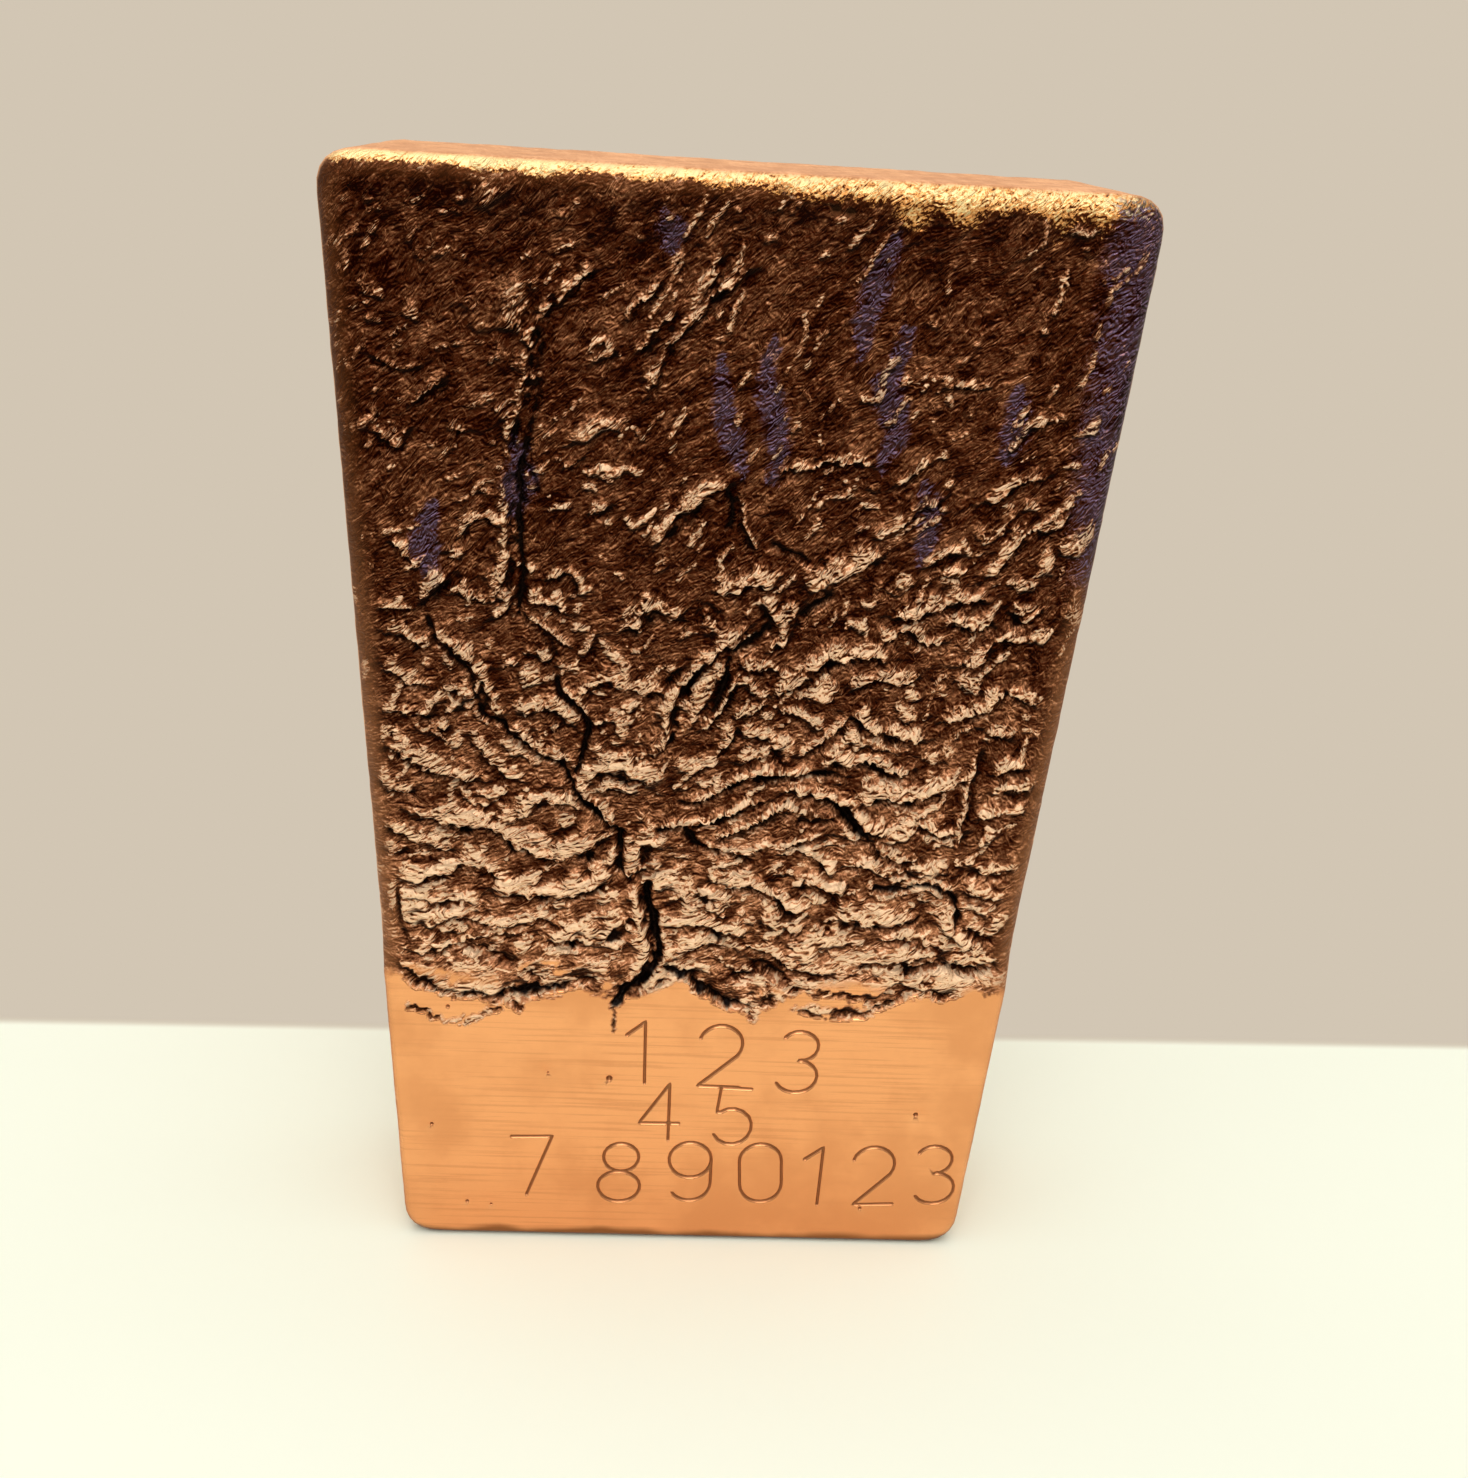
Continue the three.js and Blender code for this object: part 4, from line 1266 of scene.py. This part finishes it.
def bands(bench: Bench, along: Wire, across: Wire, pitch: Any, cover: Any, seed: Wire) -> Wire:
    """Overlapping bands of skin: each hangs over at its lower edge and slopes off above it.

    Args:
        bench: The tree's bench.
        along: Distance along the bands.
        across: Distance across them.
        pitch: Their spacing.
        cover: How much of the skin they cover, from 0 to 1.
        seed: Where the noises are cut.

    Returns:
        The bands' height, from 0 to 1.
    """
    bend = bench.noise(bench.join(along / (pitch * 3.0), across / (pitch * 1.7), seed), 1.0)
    phase = across / pitch + (bend - 0.5) * 2.6
    share = phase.fract()
    patch = bench.noise(bench.join(along / (pitch * 2.0), phase.floor() * 3.7, seed), 1.0, 1.0)
    there = (patch - (0.66 - cover * 0.38)).ramp(-0.03, 0.07)
    return there * share.ramp(0.0, 0.16) * (1.0 - share)


@dataclass(frozen=True)
class SkinRelief:
    """Folds, wrinkles and grain of the cast skin, in millimetres and cells for each millimetre."""

    fold_height: float = 1.1
    fold_pitch: float = 5.4
    pleat_height: float = 0.6
    pleat_pitch: float = 2.6
    hair_height: float = 0.40
    hair_pitch: float = 3.1
    wrinkle_height: float = 0.40
    wrinkle_pitch: float = 1.5
    grain_height: float = 0.10
    grain_cells: float = 1.4
    swell_height: float = 0.5
    swell_cells: float = 0.16
    wall_grain: float = 0.16
    wall_cells: float = 0.25
    sway_cells: float = 0.10
    sway_along: float = 8.0
    sway_across: float = 9.0
    sway_face: float = 3.0
    droop: float = 0.35
    seed: float = 4.0

    def tree(self, material: bpy.types.Material) -> bpy.types.GeometryNodeTree:
        """Builds the tree that raises the folds, grinds the land flat and marks both.

        Args:
            material: The copper.

        Returns:
            The tree. Its inputs are named after the sizes.
        """
        tree = bpy.data.node_groups.new("cast_skin_relief", "GeometryNodeTree")
        face = tree.interface
        face.new_socket("Geometry", in_out="INPUT", socket_type="NodeSocketGeometry")
        names = {item.name: item.name.replace("_", " ").title() for item in fields(self)}
        for size_name, name in names.items():
            socket = face.new_socket(name, in_out="INPUT", socket_type="NodeSocketFloat")
            socket.default_value = getattr(self, size_name)
        face.new_socket("Geometry", in_out="OUTPUT", socket_type="NodeSocketGeometry")
        bench = Bench(tree)
        entry = bench.node("NodeGroupInput").outputs
        size = SimpleNamespace(**{key: Wire(bench, entry[name]) for key, name in names.items()})
        mark = bench.marks("level sink rise crest fold_weight cover flow_u flow_v stamp front")

        position = bench.out("GeometryNodeInputPosition")
        drift = bench.parts(bench.noise(position, size.sway_cells, 2.0, 0.5, which=1))
        sway = [part - 0.5 for part in drift[:2]]
        along = mark.flow_u + sway[0] * size.sway_along
        across = mark.flow_v + sway[1] * size.sway_across
        apart = 1.0 - mark.rise.ramp(0.2, 0.75)
        folds = bands(bench, along, across, size.fold_pitch, mark.cover - 0.1, size.seed) * apart
        pleats = bands(bench, along, across + along * 0.12, size.pleat_pitch,
                       mark.cover * 0.9, size.seed + 31.0) * apart
        hairs = bands(bench, along, across - along * 0.25, size.hair_pitch,
                      mark.cover * 0.6 + 0.12, size.seed + 83.0).ramp(0.64, 0.93)
        flecks = bands(bench, along * 1.4, across - along * 0.6, size.fold_pitch * 0.5,
                       0.34, size.seed + 11.0).ramp(0.56, 0.87)
        on_fold = folds.ramp(0.05, 0.95).greatest(mark.crest).greatest(pleats.ramp(0.1, 0.9) * 0.8)
        on_fold = on_fold.greatest(hairs * 1.2).greatest(flecks).clamp()
        face_x, face_y = (p + s * size.sway_face for p, s in zip(bench.parts(position), sway))
        wrinkles = worms(bench, face_x, face_y, size.wrinkle_pitch) * (on_fold * 0.65 + 0.35)
        grain = bench.noise(position, size.grain_cells, 2.0, 0.65) - 0.5
        swell = bench.noise(position, size.swell_cells, 1.0) - 0.5
        raised = (folds * size.fold_height).greatest(mark.rise) + pleats * size.pleat_height
        raised = raised + (hairs + flecks) * size.hair_height + wrinkles * size.wrinkle_height
        raised = raised + swell * size.swell_height - 0.35 - mark.cover * 0.3
        raw = mark.level - mark.sink + mark.fold_weight * raised + grain * size.grain_height * 2.0
        land = mark.level.ramp(-0.1, 0.25)
        soft = raw.least(-0.35) - ((raw.greatest(-0.35) + 0.35) / -0.35).exp() * 0.35 + 0.35
        level = raw.least(0.0) * land + soft * (1.0 - land)
        ground = raw.ramp(0.0, 0.06) * land * mark.front
        mottle = bench.noise(position, size.wall_cells, 2.0, 0.5)
        on_wall = (mottle * 2.0 + grain - 2.0) * size.wall_grain
        height = (level - mark.stamp) * mark.front + on_wall * (1.0 - mark.front)

        normal = bench.out("GeometryNodeInputNormal")
        push = bench.out("ShaderNodeVectorMath", {0: normal, "Scale": height}, operation="SCALE")
        hang = mark.front * (mark.fold_weight * folds * size.fold_height + mark.rise)
        drop = bench.join(0.0, hang * size.droop * (1.0 - ground) * (-1.0), 0.0)
        moved = bench.out("ShaderNodeVectorMath", {0: push, 1: drop}, operation="ADD")

        fresh = on_fold + (wrinkles - 0.3) * 0.4 - mark.sink * 0.8
        geometry = Wire(bench, entry["Geometry"])
        for name, value in (("height", height), ("ground", ground), ("fresh", fresh),
                            ("face_x", face_x), ("face_y", face_y)):
            geometry = self.keep(geometry, name, value)
        # proud: height above the blurred height; the finish reads it as wear on raised parts and as painted
        # shade in hollows.
        blurred = bench.out("GeometryNodeBlurAttribute",
                            {"Iterations": 9, "Weight": 1.0, 0: bench.stored("height")},
                            data_type="FLOAT")
        geometry = self.keep(geometry, "proud", bench.stored("height") - blurred)
        geometry = bench.out("GeometryNodeSetPosition", {"Geometry": geometry, "Offset": moved})
        # faces_up: how much a face looks up; the finish paints light on faces that look up and shade on
        # those that look down.
        geometry = self.keep(geometry, "faces_up", bench.parts(normal)[1])
        geometry = bench.out("GeometryNodeRealizeInstances", {"Geometry": geometry})
        geometry = bench.out("GeometryNodeSetMaterial", {"Geometry": geometry, "Material": material})
        bench.node("NodeGroupOutput", {"Geometry": geometry})
        return tree

    @staticmethod
    def keep(geometry: Wire, name: str, value: Wire) -> Wire:
        """Stores a value on the mesh.

        Args:
            geometry: The geometry before.
            name: The value's name.
            value: The value.

        Returns:
            The geometry after.
        """
        inputs = {"Geometry": geometry, "Name": name, "Value": value}
        return geometry.bench.out("GeometryNodeStoreNamedAttribute", inputs,
                                  data_type="FLOAT", domain="POINT")

    def raise_on(self, casting: bpy.types.Object, material: bpy.types.Material) -> bpy.types.Mesh:
        """Runs the tree on a casting.

        Args:
            casting: The object of the shell.
            material: The copper.

        Returns:
            The finished plain mesh, still in casting millimetres.
        """
        modifier = casting.modifiers.new("skin", "NODES")
        modifier.node_group = self.tree(material)
        for item in modifier.node_group.interface.items_tree:
            if item.in_out == "INPUT" and item.socket_type == "NodeSocketFloat":
                modifier[item.identifier] = item.default_value
        depsgraph = bpy.context.evaluated_depsgraph_get()
        mesh = bpy.data.meshes.new_from_object(casting.evaluated_get(depsgraph))
        casting.modifiers.remove(modifier)
        return mesh


# Copper


@dataclass(frozen=True)
class CopperFinish:
    """Colours and roughness of the copper's states, with painted light and shade in the colours.

    Pitches, spans and shadows are in millimetres on the face, cells are for each metre, and bumps
    are in metres. A shadow is how far a wrinkle's painted shade lies across and up from its lit side.
    """

    land: Colour = (0.92, 0.41, 0.175, 1.0)
    land_warm: Colour = (0.78, 0.33, 0.135, 1.0)
    land_streak: Colour = (0.55, 0.21, 0.08, 1.0)
    crest: Colour = (0.90, 0.42, 0.21, 1.0)
    crest_tip: Colour = (1.0, 0.68, 0.43, 1.0)
    # Colours of the painted highlight along the head edge.
    gold: Colour = (0.80, 0.36, 0.11, 1.0)
    glint: Colour = (1.0, 0.76, 0.38, 1.0)
    slope: Colour = (0.48, 0.195, 0.085, 1.0)
    # Dark skin of the side margins, also used as the painted shadow along the foot's edge.
    edge_skin_and_foot_shade: Colour = (0.15, 0.048, 0.014, 1.0)
    # Painted light on the side margins towards the foot.
    edge_painted_light: Colour = (0.36, 0.145, 0.06, 1.0)
    skin_lit: Colour = (0.17, 0.060, 0.025, 1.0)
    skin: Colour = (0.066, 0.014, 0.004, 1.0)
    skin_dark: Colour = (0.012, 0.001, 0.0002, 1.0)
    wall: Colour = (1.0, 0.52, 0.26, 1.0)
    wall_dark: Colour = (0.80, 0.385, 0.19, 1.0)
    groove: Colour = (0.26, 0.10, 0.04, 1.0)
    # Painted shade in furrows, hollows and under folds.
    soot: Colour = (0.012, 0.006, 0.004, 1.0)
    # Colours of the painted bluish reflection.
    blue: Colour = (0.22, 0.15, 0.26, 1.0)
    blue_dark: Colour = (0.050, 0.020, 0.020, 1.0)
    land_rough: float = 0.17
    crest_rough: float = 0.58
    skin_rough: float = 0.55
    frill_pitch: float = 0.95
    frill_shadow: Point = (0.08, 0.26)
    wrinkle_shadow: Point = (0.1, 0.42)
    pore_pitch: float = 0.85
    pore_stretch: float = 2.2
    pore_shadow: Point = (0.06, 0.26)
    broad_pitch: float = 2.4
    blotch_cells: float = 45.0
    cloud_cells: float = 130.0
    gold_cells: float = 300.0
    speckle_cells: float = 2000.0
    high_span: Point = (100.0, 125.0)
    left_span: Point = (-14.0, -34.0)
    gold_left: Point = (5.0, -25.0)
    low_edge_span: Point = (120.0, 80.0)
    land_foot_span: Point = (16.0, 3.0)
    # Where the painted shadow along the foot's edge fades out.
    foot_shade_span: Point = (2.1, 0.9)
    brush_strokes: Triple = (40.0, 260.0, 1900.0)
    grain_bump: float = 0.00010
    frill_bump: float = 0.00034
    wall_bump: float = 0.00025
    wall_grain_bump: float = 0.00006
    brush_bump: float = 0.000006

    def material(self) -> bpy.types.Material:
        """Builds the copper's material.

        Returns:
            The material.
        """
        copper = bpy.data.materials.new("cast_copper")
        copper.use_nodes = True
        bench = Bench(copper.node_tree)
        mark = bench.marks("ground fresh proud sink stamp front face_x face_y smear rim faces_up margin")
        place = bench.out("ShaderNodeTexCoord", which="Object")
        blotch = bench.noise(place, self.blotch_cells)
        speckle = bench.noise(place, self.speckle_cells, 2.0, 0.7)
        gold = bench.noise(place, self.gold_cells, 1.0)
        across, up = mark.face_x, mark.face_y
        # Each wrinkle pattern is read again, shifted by its shadow, to paint its shade beside its lit side.
        fine, fine_shade, coarse, coarse_shade, pores, pore_shade = (
            worms(bench, across + x, up + y, pitch, stretch)
            for pitch, stretch, shadow in (
                (self.frill_pitch, WORM_STRETCH, self.frill_shadow),
                (SkinRelief.wrinkle_pitch, WORM_STRETCH, self.wrinkle_shadow),
                (self.pore_pitch, self.pore_stretch, self.pore_shadow),
            )
            for x, y in ((0.0, 0.0), shadow)
        )
        shade = fine_shade.greatest(coarse_shade * 0.8)
        worn = (mark.fresh + mark.proud * 0.4).clamp()
        worn = (worn + (fine.greatest(coarse) - 0.45) * (1.0 - worn) * mark.fresh.ramp(0.0, 0.3)).clamp()
        # tone: the wrinkles' painted light less their painted shade.
        tone = fine.greatest(coarse * 0.8) - shade * 0.9
        valley_tone = pores - pore_shade * 0.8
        tone = valley_tone + (tone - valley_tone) * worn.ramp(0.05, 0.5)

        # Painted light: the skin is lighter towards the foot and darker towards the top. It is also darker
        # in the upper left corner.
        high = up.ramp(*self.high_span)
        corner = high * across.ramp(*self.left_span)
        lit = up.ramp(112.0, 56.0) * 0.12 + up.ramp(72.0, 50.0) * 0.05 + 0.17
        lit = lit + worn * (0.57 - high * 0.06 - corner * 0.16)
        # Painted shade in hollows, below the blurred height.
        lit = lit + mark.proud.least(0.0) * 0.35
        # Painted light and shade of the wrinkles, stronger on worn crests.
        lit = lit + tone * (worn * (1.06 - high * 0.2) + 0.34)
        broad = worms(bench, across, up, self.broad_pitch)
        lit = lit + ((gold - 0.5) * 0.6 + (broad - 0.3) * 0.25) * (1.0 - worn)
        lit = lit + (speckle - 0.5) * 0.7 - corner * 0.05
        # Painted light: faces that face up are lighter. The skin just above the land is also a little
        # lighter.
        lit = lit + mark.faces_up.greatest(-0.5) * 0.3 + up.ramp(52.0, 45.0) * 0.04
        # Painted highlight along the head edge: gold and glint grains, brighter to the left.
        rim = mark.rim
        glint_grains = (gold - 0.5) * 0.8 + tone * 0.6 + (speckle - 0.5) * 2.4 + rim * 1.1 - 0.3
        glint_grains = glint_grains + across.ramp(*self.gold_left) * 0.45
        edge = (rim + (speckle - 0.5) * 1.2 + (gold - 0.5) * 0.5).ramp(0.12, 0.32) * rim.ramp(0.0, 0.08)
        border = bench.coated(
            self.skin, (glint_grains.ramp(0.1, 0.5), self.gold), (glint_grains.ramp(0.5, 1.0), self.glint))
        fresh = lit.ramp(0.45, 0.85)
        # The side margins' dark skin, with painted light towards the foot.
        edge_colour = bench.coated(self.edge_skin_and_foot_shade, (up.ramp(*self.low_edge_span), self.edge_painted_light))
        edge_share = mark.margin * (1.0 - edge) * (1.0 - mark.smear) * (0.75 - speckle * 0.3)
        # Painted reflection: bluish streaks where the blue sheen value is, broken up by noise and the
        # wrinkles.
        violet = bench.coated(self.blue_dark, (tone.ramp(-0.05, 0.85), self.blue))
        patchy = mark.smear * 0.7 + (gold - 0.5) * 2.2 + broad * 0.5 + tone * 0.8 + (speckle - 0.5)
        blue_share = patchy.ramp(0.3, 1.2) * mark.smear.ramp(0.0, 0.45) * (1.0 - fresh * 0.8)
        # The skin steps from dark to bright by lit, which adds the worn crests' brightness and random tone
        # to painted light and shade, so the brightest steps are partly painted highlight.
        rough_face = bench.coated(
            self.skin_dark,
            (lit.ramp(0.0, 0.25), self.skin),
            (lit.ramp(0.25, 0.45), self.skin_lit),
            (lit.ramp(0.45, 0.65), self.slope),
            (lit.ramp(0.65, 0.85), self.crest),
            (lit.ramp(0.77, 0.9), self.crest_tip),
            (edge, border),
            (edge_share, edge_colour),
            (blue_share, violet),
        )
        brushed = bench.out("ShaderNodeVectorMath", {0: place, 1: self.brush_strokes}, operation="MULTIPLY")
        streak = bench.noise(brushed, 1.0, 3.0, 0.6)
        worked = streak.ramp(0.5, 0.64) * blotch.ramp(0.65, 0.4)
        cloud = bench.noise(place, self.cloud_cells, 3.0, 0.6)
        land = bench.coated(
            self.land,
            ((blotch * 0.6 + cloud * 0.4).ramp(0.42, 0.62), self.land_warm),
            ((worked * 0.34 + (speckle - 0.5) * 0.22).clamp(), self.land_streak),
            # Darker towards the foot of the land.
            (up.ramp(*self.land_foot_span) * 0.25, self.land_streak),
        )
        stain = blotch * 0.35 + gold * 0.35 + speckle * 0.3
        # Painted shade: faces that face down, hollows and furrows darken towards black.
        under = (mark.faces_up + mark.proud * 0.5).ramp(0.0, -0.5)
        deep = (mark.sink.ramp(0.45, 1.2) + under * (1.0 - mark.ground) * 0.8).clamp()
        colour = bench.coated(
            self.wall_dark,
            (stain.ramp(0.4, 0.6), self.wall),
            (gold.ramp(0.27, 0.2) * 0.7, self.slope),
            (mark.front.ramp(0.0, 0.5), bench.coated(rough_face, (mark.ground, land))),
            (mark.stamp.ramp(0.05, 0.22) * 0.85, self.groove),
            # Painted shadow: a dark line along the foot's edge.
            (up.ramp(*self.foot_shade_span) * 0.8, self.edge_skin_and_foot_shade),
            # Painted shade in furrows, hollows and under folds.
            (deep * mark.front, self.soot),
        )

        land_rough = self.land_rough + (streak - 0.5) * 0.12
        rough_rough = self.skin_rough + (self.crest_rough - self.skin_rough) * fresh
        rough_rough = rough_rough - mark.smear * 0.12
        smooth = mark.ground.ramp(0.7, 1.0)
        rough = land_rough * smooth + rough_rough * (1.0 - smooth)
        rough = rough + mark.stamp.ramp(0.02, 0.1) * 0.3
        relief = (speckle - 0.5) * self.grain_bump + fine * (worn * 0.5 + 0.5) * self.frill_bump
        relief = relief * (1.0 - mark.ground) * mark.front
        walls = gold * self.wall_bump + speckle * self.wall_grain_bump
        relief = relief + walls * (1.0 - mark.front) + (streak - 0.5) * self.brush_bump * mark.ground
        bump = bench.out("ShaderNodeBump", {"Height": relief, "Distance": 1.0})
        metal = 1.0 - fresh * (1.0 - mark.ground) * 0.5 - (1.0 - mark.front) * 0.3
        surface = bench.out("ShaderNodeBsdfPrincipled", {
            "Base Color": colour, "Roughness": rough, "Metallic": metal, "Normal": bump})
        bench.node("ShaderNodeOutputMaterial", {0: surface})
        return copper


def placed(name: str, data: Any) -> bpy.types.Object:
    """Puts a mesh, lamp or camera into the scene.

    Args:
        name: The new object's name.
        data: The mesh, lamp or camera.

    Returns:
        The object.
    """
    item = bpy.data.objects.new(name, data)
    bpy.context.scene.collection.objects.link(item)
    return item


@dataclass(frozen=True)
class CopperIngot:
    """The whole bar."""

    casting: Casting = Casting()
    relief: SkinRelief = SkinRelief()
    finish: CopperFinish = CopperFinish()

    def build(self) -> bpy.types.Object:
        """Casts the bar, raises its skin, stands it up and dresses it.

        Returns:
            The finished object, which stands for the CAD solid.
        """
        material = self.finish.material()
        shell = placed("casting_shell", self.casting.mesh())
        mesh = self.relief.raise_on(shell, material)
        bpy.data.objects.remove(shell)
        mesh.transform(self.casting.mould.standing(Vector(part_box("ingot")[0])))
        mesh.name = "copper_ingot"
        mesh.shade_smooth()
        ingot = placed("copper_ingot", mesh)
        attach(ingot, "root")
        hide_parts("ingot")
        LOG.info("ingot: %d faces", len(mesh.polygons))
        return ingot


# Studio


@dataclass(frozen=True)
class Lamp:
    """A soft square lamp that faces the bar. Its tint is green and blue against full red."""

    name: str
    place: Triple
    size: float
    watts: float
    tint: Point
    aim: Triple = (0.0, 0.0, 0.06)

    def build(self) -> None:
        """Hangs the lamp."""
        data = bpy.data.lights.new(self.name, "AREA")
        data.size = self.size
        data.energy = self.watts
        data.color = (1.0, *self.tint)
        turn = (Vector(self.aim) - Vector(self.place)).to_track_quat("-Z", "Y").to_matrix()
        placed(self.name, data).matrix_world = Matrix.Translation(self.place) @ turn.to_4x4()


@dataclass(frozen=True)
class Studio:
    """A pale table and paper, soft light and the camera, in metres and degrees."""

    table_tone: Colour = (0.915, 0.96, 0.845, 1.0)
    paper_tone: Colour = (0.645, 0.565, 0.456, 1.0)
    room_tone: Colour = (0.42, 0.40, 0.37, 1.0)
    sky_tone: Colour = (0.60, 0.58, 0.54, 1.0)
    front_edge: float = -0.34
    half_breadth: float = 2.2
    sweep_from: float = 1.1
    sweep_radius: float = 0.5
    sweep_top: float = 2.2
    paper_from: float = 0.036
    paper_slant: float = -0.02
    paper_blend: float = 0.003
    camera_place: Triple = (-0.013253, -0.228131, 0.179356)
    camera_pitch: float = 24.890
    camera_yaw: float = 4.219
    camera_roll: float = 4.061
    focal_px: float = 1849.8
    long_side_px: float = 1478.0
    sensor: float = 36.0
    lamps: tuple[Lamp, ...] = (
        Lamp("overhead", (-0.04, -0.15, 1.3), 1.2, 8.3, (0.99, 0.95)),
        Lamp("front", (-0.1, -1.1, 1.15), 1.0, 7.5, (0.98, 0.94)),
    )

    def camera(self) -> None:
        """Places the camera."""
        pitch, yaw, roll = map(math.radians, (self.camera_pitch, self.camera_yaw, self.camera_roll))
        ahead = Vector((math.sin(yaw) * math.cos(pitch), math.cos(yaw) * math.cos(pitch),
                        -math.sin(pitch)))
        right = Vector((math.cos(yaw), -math.sin(yaw), 0.0))
        above = right.cross(ahead)
        side = math.cos(roll) * right + math.sin(roll) * above
        top = -math.sin(roll) * right + math.cos(roll) * above
        turn = Matrix((side, top, -ahead)).transposed()
        data = bpy.data.cameras.new("camera")
        data.sensor_width = self.sensor
        data.lens = self.focal_px * self.sensor / self.long_side_px
        data.clip_start = 0.01
        camera = placed("camera", data)
        camera.matrix_world = Matrix.Translation(self.camera_place) @ turn.to_4x4()
        bpy.context.scene.camera = camera

    def cloth(self) -> bpy.types.Material:
        """The table's and the paper's material, which change over along a line behind the bar.

        Returns:
            The material.
        """
        material = bpy.data.materials.new("table_and_paper")
        material.use_nodes = True
        bench = Bench(material.node_tree)
        x, y, _ = bench.parts(bench.out("ShaderNodeTexCoord", which="Object"))
        line = y + x * self.paper_slant
        on_paper = line.ramp(self.paper_from, self.paper_from + self.paper_blend)
        tone = bench.coated(self.table_tone, (on_paper, self.paper_tone))
        cloth = bench.out("ShaderNodeBsdfPrincipled", {"Base Color": tone, "Roughness": 0.75})
        rays = bench.node("ShaderNodeLightPath").outputs
        seen = Wire(bench, rays["Is Camera Ray"]).greatest(Wire(bench, rays["Is Glossy Ray"]))
        paper = bench.out("ShaderNodeEmission", {"Color": self.paper_tone, "Strength": 1.0})
        both = bench.out("ShaderNodeMixShader", {0: on_paper * seen, 1: cloth, 2: paper})
        bench.node("ShaderNodeOutputMaterial", {0: both})
        return material

    def stage(self) -> None:
        """Lays the table and the paper that sweeps up far behind."""
        profile = [(self.front_edge, 0.0), (self.sweep_from, 0.0)]
        for angle in np.radians(np.linspace(10, 90, 9)):
            profile.append((self.sweep_from + self.sweep_radius * math.sin(angle),
                            self.sweep_radius * (1 - math.cos(angle))))
        profile.append((self.sweep_from + self.sweep_radius, self.sweep_top))
        sides = (-self.half_breadth, self.half_breadth)
        vertices = [(x, y, z) for y, z in profile for x in sides]
        faces = [(2 * i, 2 * i + 1, 2 * i + 3, 2 * i + 2) for i in range(len(profile) - 1)]
        mesh = bpy.data.meshes.new("studio_sweep")
        mesh.from_pydata(vertices, [], faces)
        mesh.shade_smooth()
        mesh.materials.append(self.cloth())
        sweep = placed("studio_sweep", mesh)

    def world(self) -> None:
        """A dim room in front, pale above and behind."""
        world = bpy.data.worlds.new("room")
        bpy.context.scene.world = world
        world.use_nodes = True
        bench = Bench(world.node_tree)
        _, y, z = bench.parts(bench.out("ShaderNodeTexCoord", which="Generated"))
        pale = y.ramp(-0.4, 0.5).greatest(z.ramp(0.2, 0.9))
        tone = bench.coated(self.room_tone, (pale, self.sky_tone))
        sky = bench.out("ShaderNodeBackground", {"Color": tone, "Strength": 1.0})
        bench.node("ShaderNodeOutputWorld", {0: sky})

    def build(self) -> None:
        """Sets up the whole studio."""
        self.stage()
        for lamp in self.lamps:
            lamp.build()
        self.world()
        self.camera()
        bpy.context.scene.view_settings.view_transform = "Standard"


def main() -> None:
    """Builds the ingot and its studio."""
    logging.basicConfig(level=logging.INFO, format="%(name)s: %(message)s")
    CopperIngot().build()
    Studio().build()


if __name__ == "__main__":
    main()
